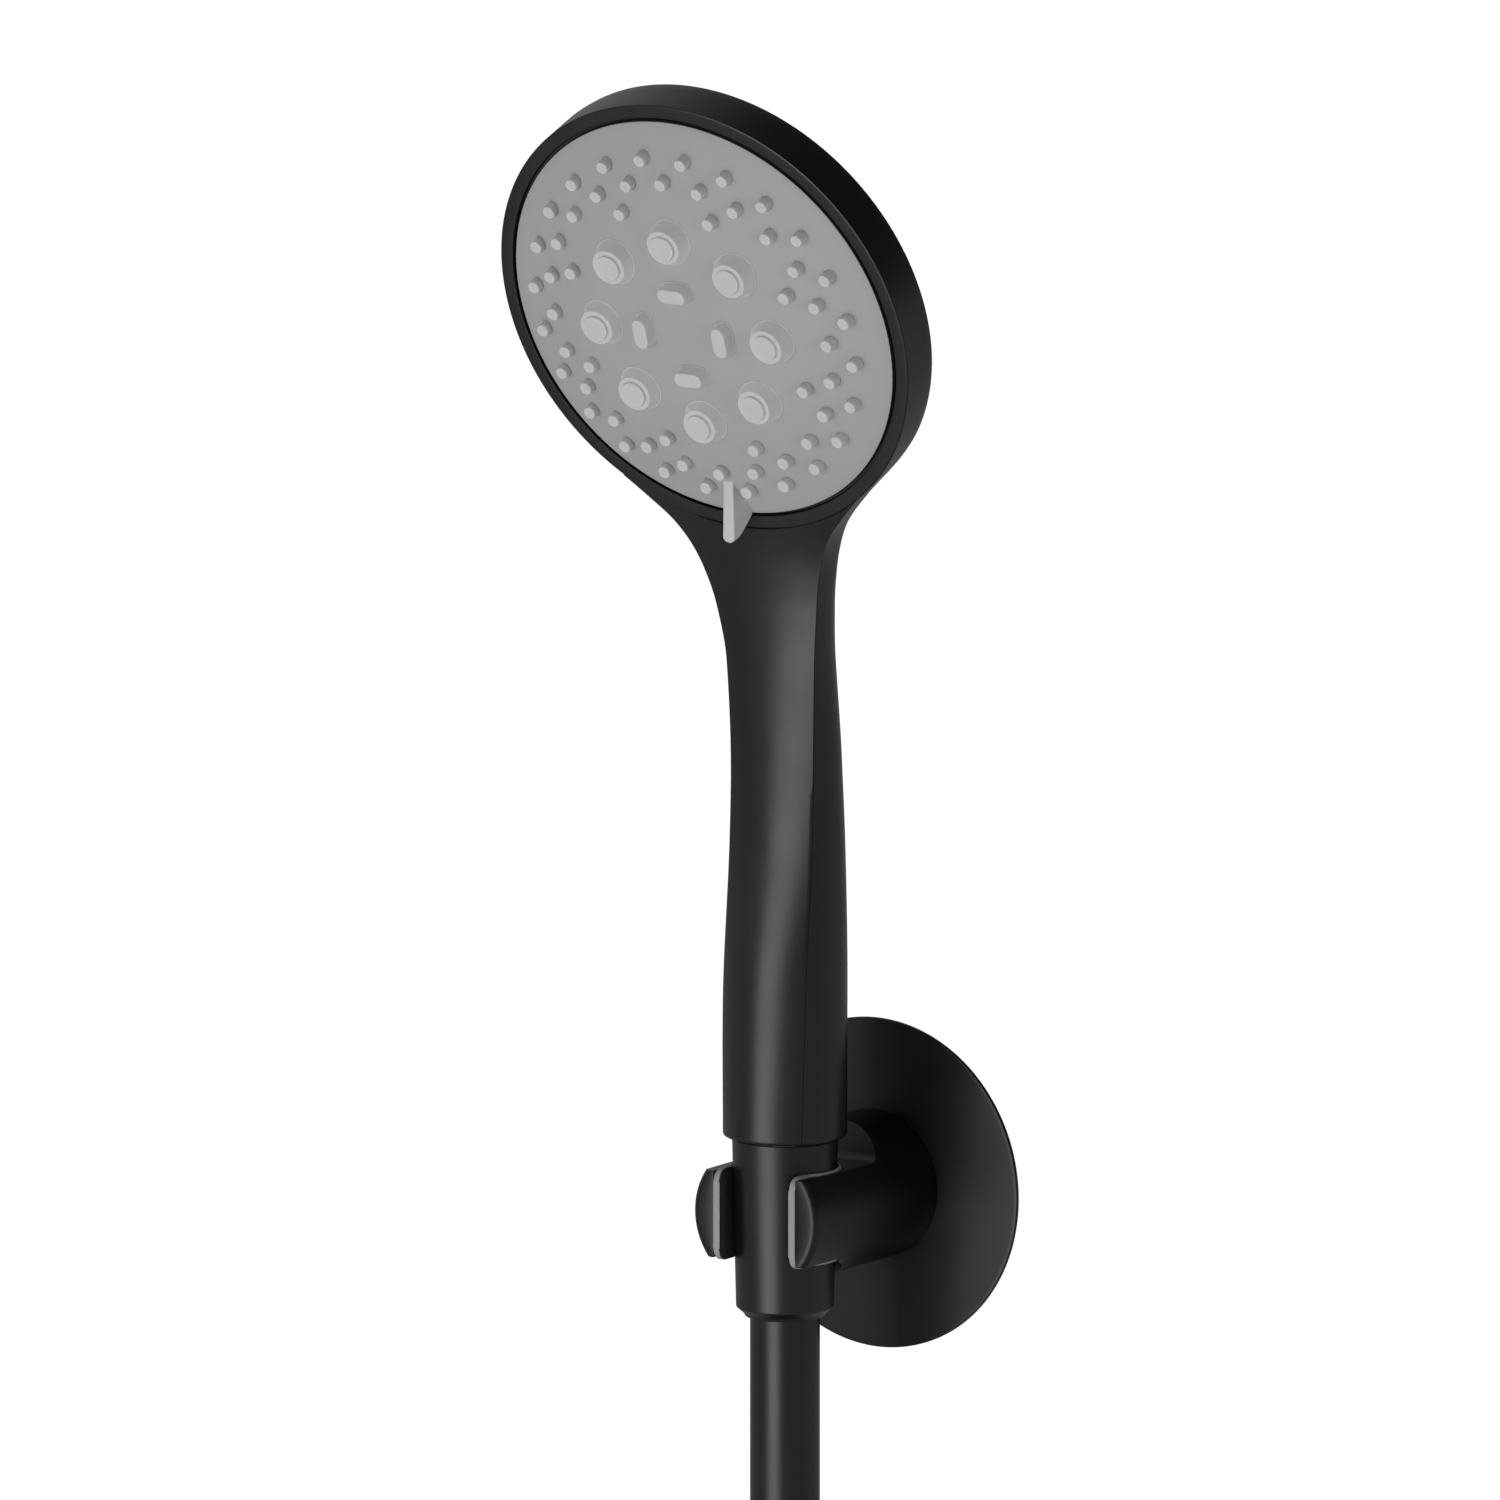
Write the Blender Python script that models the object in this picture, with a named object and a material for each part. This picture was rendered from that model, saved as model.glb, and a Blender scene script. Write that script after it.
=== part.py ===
# Handheld shower head on its wall holder, with its hose.
#
# Metres, +Z up. The origin is the centre of the wall flange's back face, so the
# wall is the plane Y = 0 and the holder reaches out along -Y. Dimensions below
# are millimetres and are scaled when the meshes are made.

import bpy
import bmesh
import math
from mathutils import Vector, Matrix

for ob in list(bpy.data.objects):
    bpy.data.objects.remove(ob, do_unlink=True)

MM = 0.001
GAP = 0.3                      # clearance kept between pieces

# ---------------------------------------------------------------- dimensions
# wall holder
FLANGE_R = 38.3
FLANGE_EDGE = 1.0
FLANGE_FRONT = 2.0
ARM_R_BACK = 17.2
ARM_R_FRONT = 16.2
ARM_FRONT = 51.8
ARM_FLAT = 10.0                # half height of the clip zone
RAMP = ((22.4, 10.0), (15.2, 17.7))    # top cut ends in a ramp: distance out, height
UNDER_Y = 36.3
CLIP_Y = 39.04                 # axis of the conical seat
JAW_GAP = 9.35                 # half width of the front opening, liner to liner
LINER_T = 1.9
POST_R = 11.7
POST_LEN = 13.5
# conical nut on the hose
NUT_TOP_Z, NUT_TOP_R = 16.1, 12.1
NUT_LOW_Z, NUT_LOW_R = -22.8, 11.2
NUT_END_Z, NUT_END_R = -25.6, 9.0
# hose
HOSE_R = 7.9
HOSE_LENGTH = 1500.0
HOSE_TOP_Z = -14.3
BEND_Z = -120.0                # the hose starts to curve sideways here
BEND_R = 90.0
COIL_R = 90.0
COIL_PITCH = 17.0
COIL_FRONT_Y = -60.5
JOIN_DEG = 121.0
TURN_DEG = 59.0 + 720.0
# handset
HANDLE_R = 14.25
HANDLE_Z0 = 16.4
HEAD_Y, HEAD_Z = -72.5, 211.85
HEAD_TILT = math.radians(19.02)
HEAD_R = 54.2
BAND_DEPTH = 11.3
DOME_BACK = 7.0
FACE_R = 50.24
FACE_CROWN = 8.1
WALL = 2.0
# nozzle rings: radius and count
SLOT_RING, BIG_RING = 10.73, 23.02
SMALL_RINGS = ((31.46, 8, 22.5), (37.25, 24, 0.0), (42.48, 24, 7.5))


# ---------------------------------------------------------------- materials
def material(name, rgb, rough, metal=0.0):
    m = bpy.data.materials.new(name)
    m.use_nodes = True
    b = m.node_tree.nodes["Principled BSDF"]
    b.inputs["Base Color"].default_value = (rgb[0], rgb[1], rgb[2], 1.0)
    b.inputs["Roughness"].default_value = rough
    b.inputs["Metallic"].default_value = metal
    m.diffuse_color = (rgb[0], rgb[1], rgb[2], 1.0)
    return m


BLACK = material("black_abs", (0.018, 0.018, 0.019), 0.42)
BLACK_METAL = material("black_coated_metal", (0.02, 0.02, 0.021), 0.45)
HOSE_MAT = material("black_pvc", (0.016, 0.016, 0.017), 0.4)
FACE_MAT = material("grey_face", (0.35, 0.35, 0.35), 0.55)
NOZZLE_MAT = material("pale_silicone", (0.5, 0.5, 0.5), 0.6)
LINER_MAT = material("grey_liner", (0.3, 0.3, 0.3), 0.55)
INNER = material("natural_acetal", (0.75, 0.74, 0.7), 0.45)
RUBBER = material("black_rubber", (0.02, 0.02, 0.02), 0.8)
BRASS = material("brass", (0.7, 0.5, 0.22), 0.3, 1.0)
STEEL = material("stainless", (0.55, 0.55, 0.56), 0.3, 1.0)

# ---------------------------------------------------------------- helpers
HEAD = Matrix.Translation((0, HEAD_Y, HEAD_Z)) @ Matrix((
    (1, 0, 0, 0),
    (0, -math.sin(HEAD_TILT), -math.cos(HEAD_TILT), 0),
    (0, math.cos(HEAD_TILT), -math.sin(HEAD_TILT), 0),
    (0, 0, 0, 1)))             # local X right, Y up the face, Z out of the face
UP_Z = Matrix.Identity(4)
OUT_Y = Matrix.Rotation(math.radians(90), 4, 'X')   # local +Z to world -Y
N = (HEAD.to_3x3() @ Vector((0, 0, 1))).normalized()
UPV = (HEAD.to_3x3() @ Vector((0, 1, 0))).normalized()
BACK = -N


def finish(name, bm, mat, frame=UP_Z, angle=35):
    """Mesh from millimetre geometry, put in place by the object's transform."""
    bmesh.ops.remove_doubles(bm, verts=bm.verts, dist=1e-4)
    bmesh.ops.recalc_face_normals(bm, faces=bm.faces)
    bmesh.ops.scale(bm, vec=(MM, MM, MM), verts=bm.verts)
    me = bpy.data.meshes.new(name)
    bm.to_mesh(me)
    bm.free()
    me.materials.append(mat)
    me.shade_smooth()
    me.set_sharp_from_angle(angle=math.radians(angle))
    ob = bpy.data.objects.new(name, me)
    loc = frame.to_translation() * MM
    ob.matrix_world = Matrix.Translation(loc) @ frame.to_3x3().to_4x4()
    bpy.context.collection.objects.link(ob)
    return ob


def turned(profile, segs=32, bm=None):
    """Solid of revolution about local Z from a closed (radius, height) outline."""
    bm = bm or bmesh.new()
    rings = []
    for r, h in profile:
        if r < 1e-6:
            rings.append([bm.verts.new((0, 0, h))])
        else:
            rings.append([bm.verts.new((r * math.cos(2 * math.pi * i / segs),
                                        r * math.sin(2 * math.pi * i / segs), h))
                          for i in range(segs)])
    n = len(rings)
    for k in range(n):
        a, b = rings[k], rings[(k + 1) % n]
        if len(a) == 1 and len(b) == 1:
            continue
        for i in range(segs):
            j = (i + 1) % segs
            if len(a) == 1:
                bm.faces.new((a[0], b[i], b[j]))
            elif len(b) == 1:
                bm.faces.new((a[i], b[0], a[j]))
            else:
                bm.faces.new((a[i], b[i], b[j], a[j]))
    return bm


def rod(r, h0, h1, segs=12, centre=(0, 0)):
    bm = turned([(0, h0), (r, h0), (r, h1), (0, h1)], segs)
    bmesh.ops.translate(bm, vec=(centre[0], centre[1], 0), verts=bm.verts)
    return bm


def block(x0, x1, y0, y1, z0, z1):
    bm = bmesh.new()
    bmesh.ops.create_cube(bm, size=1.0)
    bmesh.ops.scale(bm, vec=(x1 - x0, y1 - y0, z1 - z0), verts=bm.verts)
    bmesh.ops.translate(bm, vec=((x0 + x1) / 2, (y0 + y1) / 2, (z0 + z1) / 2), verts=bm.verts)
    return bm


def prism(outline, h0, h1, top=None):
    """Extruded outline along local Z; top may be a second outline."""
    bm = bmesh.new()
    top = top or outline
    a = [bm.verts.new((x, y, h0)) for x, y in outline]
    b = [bm.verts.new((x, y, h1)) for x, y in top]
    n = len(a)
    for i in range(n):
        j = (i + 1) % n
        bm.faces.new((a[i], a[j], b[j], b[i]))
    bm.faces.new(a)
    bm.faces.new(b[::-1])
    return bm


def side_prism(outline, x0, x1):
    """Prism across the part from an outline of (Y, Z) points."""
    bm = prism(outline, x0, x1)
    bmesh.ops.transform(bm, matrix=Matrix((
        (0, 0, 1, 0), (1, 0, 0, 0), (0, 1, 0, 0), (0, 0, 0, 1))), verts=bm.verts)
    return bm


def join_bm(parts):
    out = bmesh.new()
    for p in parts:
        me = bpy.data.meshes.new("tmp")
        p.to_mesh(me)
        p.free()
        out.from_mesh(me)
        bpy.data.meshes.remove(me)
    return out


def boolean(ob, parts, frame, op='DIFFERENCE', name="cut"):
    """Boolean with hidden cutters; parts are bmeshes in the given frame."""
    for k, p in enumerate(parts):
        c = finish("%s_%s_%d" % (ob.name, name, k), p, BLACK, frame)
        c.hide_render = True
        c.display_type = 'WIRE'
        m = ob.modifiers.new("%s%d" % (name, k), 'BOOLEAN')
        m.operation = op
        m.solver = 'EXACT'
        m.object = c
    return ob


def smooth(t):
    t = max(0.0, min(1.0, t))
    return t * t * (3 - 2 * t)


def stations(x, pts, col):
    """Smooth curve through stations, monotone where they are (Fritsch-Carlson)."""
    n = len(pts)
    if x <= pts[0][0]:
        return pts[0][col]
    if x >= pts[-1][0]:
        return pts[-1][col]
    d = [(pts[i + 1][col] - pts[i][col]) / (pts[i + 1][0] - pts[i][0]) for i in range(n - 1)]
    m = [d[0]] + [0.0 if d[i - 1] * d[i] <= 0 else 2 * d[i - 1] * d[i] / (d[i - 1] + d[i])
                  for i in range(1, n - 1)] + [d[-1]]
    i = max(k for k in range(n - 1) if pts[k][0] <= x)
    h = pts[i + 1][0] - pts[i][0]
    t = (x - pts[i][0]) / h
    return ((2 * t ** 3 - 3 * t ** 2 + 1) * pts[i][col] + (t ** 3 - 2 * t ** 2 + t) * h * m[i]
            + (-2 * t ** 3 + 3 * t ** 2) * pts[i + 1][col] + (t ** 3 - t ** 2) * h * m[i + 1])


# ---------------------------------------------------------------- handset form
# Stations up the handle: height, half width and depth of the edge between the
# front cover and the rear shell, crown of the front, then the rear half oval:
# its centre, half width and depth.
FORM = (
    (16.4, 10.5, -48.67, 4.62, -39.04, 14.25, 14.25),
    (50.0, 11.1, -47.90, 4.30, -38.90, 14.25, 14.25),
    (86.0, 11.1, -45.10, 2.70, -38.50, 13.60, 13.10),
    (104.0, 11.2, -44.55, 2.30, -38.50, 13.05, 12.10),
    (127.0, 11.9, -45.20, 2.00, -39.30, 12.50, 10.80),
    (141.0, 13.7, -47.00, 1.90, -41.00, 13.95, 10.00),
    (149.0, 15.65, -49.00, 1.90, -42.50, 15.90, 9.40),
    (154.5, 17.80, -50.75, 1.90, -43.80, 18.00, 9.10),
    (160.0, 21.20, -53.00, 1.90, -45.20, 21.30, 9.00),
    (165.3, 26.40, -55.60, 1.60, -46.80, 26.50, 9.00),
    (170.5, 32.00, -58.25, 0.80, -48.50, 32.10, 9.00),
)
SPINE = ((127.0, -28.5), (141.0, -31.0), (149.0, -33.1), (160.0, -36.4), (170.0, -39.9),
         (180.0, -43.8), (190.0, -47.5), (200.0, -50.8), (210.0, -53.5), (218.0, -55.2))
Z_JOIN = 170.5
PHI_JOIN = -math.asin((HEAD_Z - Z_JOIN) / math.cos(HEAD_TILT) / HEAD_R)
POLE = Vector((0, HEAD_Y, HEAD_Z)) + BACK * (BAND_DEPTH + DOME_BACK)


def form(z, col):
    return stations(z, FORM, col)


def edge_point(z):
    return Vector((form(z, 1), form(z, 2), z))


def dome_path(start, end, n):
    """Straight back along the band, then the shallow dome to the far point."""
    pts = []
    for i in range(n + 1):
        s = i / n
        if s < 0.25:
            pts.append(start + BACK * (BAND_DEPTH * s / 0.25))
        else:
            t = (s - 0.25) / 0.75
            rim = start + BACK * BAND_DEPTH
            pts.append(rim.lerp(end, t) + BACK * DOME_BACK * ((1 - (1 - t) ** 2.5) - t))
    return pts


def side_path(z, n=48):
    """Outer surface from the front edge round to the middle of the back."""
    edge = edge_point(z)
    y0, a, b = form(z, 4), form(z, 5), form(z, 6)
    w = smooth((z - 136.0) / (Z_JOIN - 136.0))
    zm = z + (POLE.z - Z_JOIN) * w * w
    yb = stations(zm, SPINE, 1) if zm > 127.0 else y0 + b
    a0 = -math.acos(min(0.985, edge.x / a))
    first = Vector((a * math.cos(a0), y0 + b * math.sin(a0), z))
    drum = dome_path(edge, Vector((0, yb, zm)), n)
    out = []
    for i in range(n + 1):
        s = i / n
        al = a0 + (math.pi / 2 - a0) * s
        g = smooth(s)
        p = Vector((a * math.cos(al), y0 + b * math.sin(al) + (yb - y0 - b) * g, z + (zm - z) * g))
        p += (edge - first) * (1 - s) ** 2
        out.append(p.lerp(drum[i], w))
    return out


def resample(pts, n, start):
    """n + 1 points along a path, the first one 'start' millimetres in from the edge."""
    acc = [0.0]
    for p, q in zip(pts, pts[1:]):
        acc.append(acc[-1] + (q - p).length)
    res = []
    for k in range(n + 1):
        if k <= 2:                     # the third point lands on the band's rear edge
            d = start + (BAND_DEPTH - start) * k / 2
        else:
            d = BAND_DEPTH + (acc[-1] - BAND_DEPTH) * ((k - 2) / (n - 2)) ** 1.1
        i = 0
        while i < len(acc) - 2 and acc[i + 1] < d:
            i += 1
        t = (d - acc[i]) / max(1e-9, acc[i + 1] - acc[i])
        res.append(pts[i].lerp(pts[i + 1], min(1.0, t)))
    return res


def rear_surface(rows_handle, rows_head, cols, start):
    """Rows of points, from the bottom right, round the head, to the bottom left."""
    right = []
    for i in range(rows_handle):
        t = i / rows_handle
        z = HANDLE_Z0 + (Z_JOIN - HANDLE_Z0) * (1 - (1 - t) ** 1.5)
        right.append(resample(side_path(z), cols, start))
    head = []
    for i in range(rows_head + 1):
        phi = PHI_JOIN + (math.pi - 2 * PHI_JOIN) * i / rows_head
        rim = HEAD @ Vector((HEAD_R * math.cos(phi), HEAD_R * math.sin(phi), 0))
        head.append(resample(dome_path(rim, POLE, 48), cols, start))
    left = [[Vector((-p.x, p.y, p.z)) for p in row] for row in reversed(right)]
    return right + head + left


def front_surface(cols, rows, clear):
    """Front cover, from the foot of the handle up to the bezel's lower arc."""
    grid = []
    for i in range(cols + 1):
        u = -1 + 2 * i / cols
        col = []
        lo, hi = 150.0, Z_JOIN
        for _ in range(40):                       # height where this column meets the bezel
            mid = (lo + hi) / 2
            v = (mid - HEAD_Z) / math.cos(HEAD_TILT)
            if math.hypot(u * form(mid, 1), v) > HEAD_R + clear:
                lo = mid
            else:
                hi = mid
        for k in range(rows + 1):
            t = k / rows
            z = HANDLE_Z0 + (lo - HANDLE_Z0) * (1 - (1 - t) ** 1.3)
            col.append(Vector((u * form(z, 1), form(z, 2) - form(z, 3) * (1 - u * u), z)))
        grid.append(col)
    return grid


def sheet(name, grid, mat, thickness):
    """Open grid of points made into a closed wall that grows inwards."""
    bm = bmesh.new()
    vs = [[bm.verts.new(p) for p in row] for row in grid]
    for i in range(len(vs) - 1):
        for j in range(len(vs[0]) - 1):
            bm.faces.new((vs[i][j], vs[i + 1][j], vs[i + 1][j + 1], vs[i][j + 1]))
    bmesh.ops.remove_doubles(bm, verts=bm.verts, dist=1e-3)
    bmesh.ops.dissolve_degenerate(bm, edges=bm.edges, dist=1e-3)
    bmesh.ops.recalc_face_normals(bm, faces=bm.faces)
    c = Vector((0, -42.0, 100.0))
    ref = max(bm.faces, key=lambda q: -abs(q.calc_center_median().z - 100.0))
    if (ref.calc_center_median() - c).dot(ref.normal) < 0:
        bmesh.ops.reverse_faces(bm, faces=bm.faces)
    bmesh.ops.scale(bm, vec=(MM, MM, MM), verts=bm.verts)
    me = bpy.data.meshes.new(name)
    bm.to_mesh(me)
    bm.free()
    me.materials.append(mat)
    me.shade_smooth()
    ob = bpy.data.objects.new(name, me)
    bpy.context.collection.objects.link(ob)
    s = ob.modifiers.new("wall", 'SOLIDIFY')
    s.thickness = thickness * MM
    s.offset = -1.0
    s.use_even_offset = False
    return ob


# ================================================================ wall holder
# flange: thin dished disc, flat on the wall
finish("wall_flange", turned([
    (POST_R + GAP, 0.0), (FLANGE_R, 0.0), (FLANGE_R, FLANGE_EDGE),
    (ARM_R_BACK, FLANGE_FRONT), (POST_R + GAP, FLANGE_FRONT)], 44), BLACK, OUT_Y)

# post screwed to the wall inside the arm
post = finish("wall_post", turned([
    (0, 0), (POST_R, 0), (POST_R, POST_LEN), (POST_R - 2.2, POST_LEN),
    (POST_R - 2.2, 4.0), (0, 4.0)], 24), STEEL, OUT_Y)
boolean(post, [rod(2.4, -1, 5, 12, (0, 5.4)), rod(2.4, -1, 5, 12, (0, -5.4)),
               turned([(0, 1.6), (2.4, 1.6), (4.6, 4.6), (0, 4.6)], 12)], OUT_Y, name="hole")
post.modifiers.remove(post.modifiers[-1])
for nm, s in (("wall_screw_upper", 1), ("wall_screw_lower", -1)):
    bm = turned([(0, 0.4), (2.0, 0.4), (2.0, 4.4), (3.7, 4.4), (3.7, 5.6), (2.6, 6.8), (0, 7.0)], 10)
    bmesh.ops.translate(bm, vec=(0, 5.4 * s, 0), verts=bm.verts)
    finish(nm, bm, STEEL, OUT_Y)

# arm: round bar, hollow behind, cut flat and open at the front
arm = finish("holder_arm", turned([
    (0, 3.0 + POST_LEN), (POST_R + GAP, 3.0 + POST_LEN - 1.2), (POST_R + GAP, FLANGE_FRONT + GAP),
    (ARM_R_BACK, FLANGE_FRONT + GAP), (ARM_R_FRONT + 0.1, ARM_FRONT - 1.0),
    (ARM_R_FRONT - 1.0, ARM_FRONT), (0, ARM_FRONT)], 32), BLACK, OUT_Y)


def seat_outline(r, half_gap, front, segs=20):
    """Keyhole outline in plan: round seat open to the front."""
    a0 = math.asin(half_gap / r)
    pts = [(half_gap, -front), ]
    for i in range(segs + 1):
        a = -math.pi / 2 + a0 + (2 * math.pi - 2 * a0) * i / segs
        pts.append((r * math.cos(a), -CLIP_Y + r * math.sin(a)))
    pts.append((-half_gap, -front))
    return pts


LINER_R = 13.95
boolean(arm, [
    side_prism([(-60, ARM_FLAT), (-RAMP[0][0], RAMP[0][1]), (-RAMP[1][0], RAMP[1][1]),
                (-RAMP[1][0], 30), (-60, 30)], -30, 30),
    block(-30, 30, -60, -UNDER_Y, -30, -ARM_FLAT),
    prism(seat_outline(LINER_R + GAP, JAW_GAP + LINER_T + GAP, ARM_FRONT + 5), -20, 20),
], UP_Z, name="seat")
grub_hole = rod(2.3, -25, -POST_R + 4, 12)
bmesh.ops.translate(grub_hole, vec=(0, -7.0, 0), verts=grub_hole.verts)
boolean(arm, [grub_hole], UP_Z, name="grub")
grub = rod(2.0, -ARM_R_BACK + 0.9, -POST_R - GAP, 10)
bmesh.ops.translate(grub, vec=(0, -7.0, 0), verts=grub.verts)
finish("arm_grub_screw", grub, STEEL)


# liner: soft grey strip round the seat, both jaws and their front edges
def liner_ring(r_in):
    out = seat_outline(LINER_R, JAW_GAP + LINER_T, ARM_FRONT + 0.15)
    inn = seat_outline(r_in, JAW_GAP, ARM_FRONT + 0.15)
    return out + inn[::-1]


def nut_r(z):
    return NUT_LOW_R + (NUT_TOP_R - NUT_LOW_R) * (z - NUT_LOW_Z) / (NUT_TOP_Z - NUT_LOW_Z)


finish("grip_liner", prism(liner_ring(nut_r(-10.2) + GAP + 0.05), -10.2, 10.35,
                           liner_ring(nut_r(10.35) + GAP + 0.05)), LINER_MAT)

# ================================================================ hose and its ends
nut_axis = Matrix.Translation((0, -CLIP_Y, 0))
finish("cone_nut", turned([
    (10.45, NUT_TOP_Z), (NUT_TOP_R, NUT_TOP_Z), (NUT_LOW_R, NUT_LOW_Z), (NUT_END_R + 0.4, NUT_END_Z),
    (8.3, NUT_END_Z), (8.3, -22.6), (9.9, -21.4), (9.9, 2.0), (10.45, 3.0)], 24),
    BLACK, nut_axis)
finish("hose_washer", turned([(6.0, 0.3), (9.5, 0.3), (9.5, 2.3), (6.0, 2.3)], 16), RUBBER, nut_axis)
finish("hose_insert", turned([
    (3.6, 0.0), (9.5, 0.0), (9.5, -2.0), (5.0, -2.0), (5.0, -14.0), (3.6, -14.0)], 16), BRASS, nut_axis)
finish("hose_ferrule", turned([
    (5.3, -2.3), (9.5, -2.3), (9.5, -21.0), (8.3, -21.0), (8.3, -13.9), (5.3, -13.9)], 18),
    STEEL, nut_axis)

# route: straight down, an easy bend sideways, the turns, then a short straight tail
PTS_STEP = 14.0


def route():
    """Centreline of the hose as (point, stretch) along its whole length."""
    pts = []
    n = 8
    for i in range(n):
        pts.append((Vector((0, -CLIP_Y, HOSE_TOP_Z + (BEND_Z - HOSE_TOP_Z) * i / n)), 'lead'))
    turn = math.radians(180 - JOIN_DEG)
    n = 8
    for i in range(n):
        a = turn * i / n
        pts.append((Vector((-BEND_R * (1 - math.cos(a)), -CLIP_Y, BEND_Z - BEND_R * math.sin(a))), 'lead'))
    join = Vector((-BEND_R * (1 - math.cos(turn)), 0, BEND_Z - BEND_R * math.sin(turn)))
    j = math.radians(JOIN_DEG)
    centre = join - Vector((math.cos(j), 0, math.sin(j))) * COIL_R
    n = 44
    for i in range(n + 1):
        a = math.radians(TURN_DEG) * i / n
        pts.append((Vector((centre.x + COIL_R * math.cos(j + a),
                            COIL_FRONT_Y + COIL_PITCH * math.degrees(a) / 360,
                            centre.z + COIL_R * math.sin(j + a))), 'coil'))
    # ease from the seat's depth to the front of the coil on the way down
    out = []
    for p, s in pts:
        if s == 'lead':
            k = smooth((-72.0 - p.z) / 92.0)
            p = Vector((p.x, -CLIP_Y + (COIL_FRONT_Y + CLIP_Y) * k, p.z))
        out.append((p, s))
    used = sum((b[0] - a[0]).length for a, b in zip(out, out[1:]))
    used += math.radians(TURN_DEG) * COIL_R * (1 - math.sin(math.radians(TURN_DEG) / 44 / 2)
                                               / (math.radians(TURN_DEG) / 44 / 2))
    tail = HOSE_LENGTH - used
    last = out[-1][0]
    for i in range(1, 7):
        out.append((Vector((last.x, last.y, last.z - tail * i / 6)), 'tail'))
    return out, centre, tail


ROUTE, COIL_C, TAIL = route()


def catmull(pts, per):
    res = []
    for i in range(len(pts) - 1):
        p0, p1 = pts[max(0, i - 1)], pts[i]
        p2, p3 = pts[i + 1], pts[min(len(pts) - 1, i + 2)]
        for k in range(per):
            t = k / per
            res.append(0.5 * ((2 * p1) + (p2 - p0) * t + (2 * p0 - 5 * p1 + 4 * p2 - p3) * t * t
                              + (3 * p1 - p0 - 3 * p2 + p3) * t ** 3))
    res.append(pts[-1])
    return res


def tube(name, pts, r, mat, res=3):
    cu = bpy.data.curves.new(name, 'CURVE')
    cu.dimensions = '3D'
    cu.bevel_depth = r * MM
    cu.bevel_resolution = res
    cu.use_fill_caps = True
    sp = cu.splines.new('POLY')
    sp.points.add(len(pts) - 1)
    for q, p in zip(sp.points, pts):
        q.co = (p.x * MM, p.y * MM, p.z * MM, 1.0)
    cu.materials.append(mat)
    ob = bpy.data.objects.new(name, cu)
    bpy.context.collection.objects.link(ob)
    return ob


coil_y0 = COIL_FRONT_Y - HOSE_R
coil_y1 = COIL_FRONT_Y + COIL_PITCH * TURN_DEG / 360 + HOSE_R


def clear_of_ring(p):
    """Whether the hose at this point is still outside the coil's ring."""
    rho = math.hypot(p.x - COIL_C.x, p.z - COIL_C.z)
    return rho > COIL_R + 2 * HOSE_R + 0.6


lead = [p for p, s in ROUTE if s == 'lead']
fine = catmull([p for p, s in ROUTE if s != 'tail'][:len(lead) + 2], 12)
free = []
for p in fine:
    if not clear_of_ring(p):
        break
    free.append(p)
length = 0.0
keep = [free[0]]
for a, b in zip(free, free[1:]):
    length += (b - a).length
    if length >= PTS_STEP * 1.6:
        keep.append(b)
        length = 0.0
if (keep[-1] - free[-1]).length > 2:
    keep.append(free[-1])
tube("hose", keep, HOSE_R, HOSE_MAT)
finish("hose_coil", turned([
    (COIL_R - HOSE_R, -coil_y1), (COIL_R - HOSE_R, -coil_y0),
    (COIL_R + HOSE_R, -coil_y0), (COIL_R + HOSE_R, -coil_y1)], 40), HOSE_MAT,
    Matrix.Translation((COIL_C.x, 0, COIL_C.z)) @ OUT_Y)

# tie round the turns, near the top of the coil
TIE_DEG = 62.0
tie_frame = (Matrix.Translation((COIL_C.x, (coil_y0 + coil_y1) / 2, COIL_C.z))
             @ Matrix.Rotation(-math.radians(TIE_DEG), 4, 'Y') @ Matrix.Translation((COIL_R, 0, 0)))
hw, hd = HOSE_R + 0.8, (coil_y1 - coil_y0) / 2 + 0.5


def rounded(w, d, r, n=3):
    pts = []
    for cx, cy, a0 in ((w - r, d - r, 0), (-w + r, d - r, 90), (-w + r, -d + r, 180), (w - r, -d + r, 270)):
        for i in range(n + 1):
            a = math.radians(a0 + 90 * i / n)
            pts.append((cx + r * math.cos(a), cy + r * math.sin(a)))
    return pts


def frame_prism(outer, inner, h0, h1):
    bm = bmesh.new()
    rings = [[bm.verts.new((x, y, h)) for x, y in o] for o, h in
             ((outer, h0), (outer, h1), (inner, h1), (inner, h0))]
    n = len(outer)
    for k in range(4):
        a, b = rings[k], rings[(k + 1) % 4]
        for i in range(n):
            j = (i + 1) % n
            bm.faces.new((a[i], a[j], b[j], b[i]))
    return bm


finish("coil_tie", frame_prism(rounded(hw + 1.2, hd + 1.2, 2.4), rounded(hw, hd, 1.2), -4, 4),
       RUBBER, tie_frame)

# far end: the tail leaves the coil on its left and hangs straight down
end_top = [p for p, s in ROUTE if s == 'coil'][-1]
end_pt = [p for p, s in ROUTE if s == 'tail'][-1]
clear = math.sqrt((COIL_R + 2 * HOSE_R + 0.8) ** 2 - COIL_R ** 2)
tube("hose_end", [Vector((end_top.x, end_top.y, end_top.z - clear - (TAIL - clear) * i / 2))
                  for i in range(3)], HOSE_R, HOSE_MAT)
end_axis = Matrix.Translation(end_pt)
finish("end_insert", turned([
    (4.2, -0.3), (9.4, -0.3), (9.4, -4.0), (6.6, -5.0), (6.6, -10.0), (9.4, -10.3), (9.4, -12.4), (4.2, -12.4)],
    16), BRASS, end_axis)
finish("end_nut", turned([
    (7.0, -5.4), (10.6, -5.4), (12.0, -6.4), (12.0, -20.0), (11.4, -20.6), (10.4, -20.6),
    (10.4, -9.6), (7.0, -9.6)], 18), BLACK_METAL, end_axis)
finish("end_washer", turned([(5.0, -12.8), (9.6, -12.8), (9.6, -14.8), (5.0, -14.8)], 14), RUBBER, end_axis)

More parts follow.
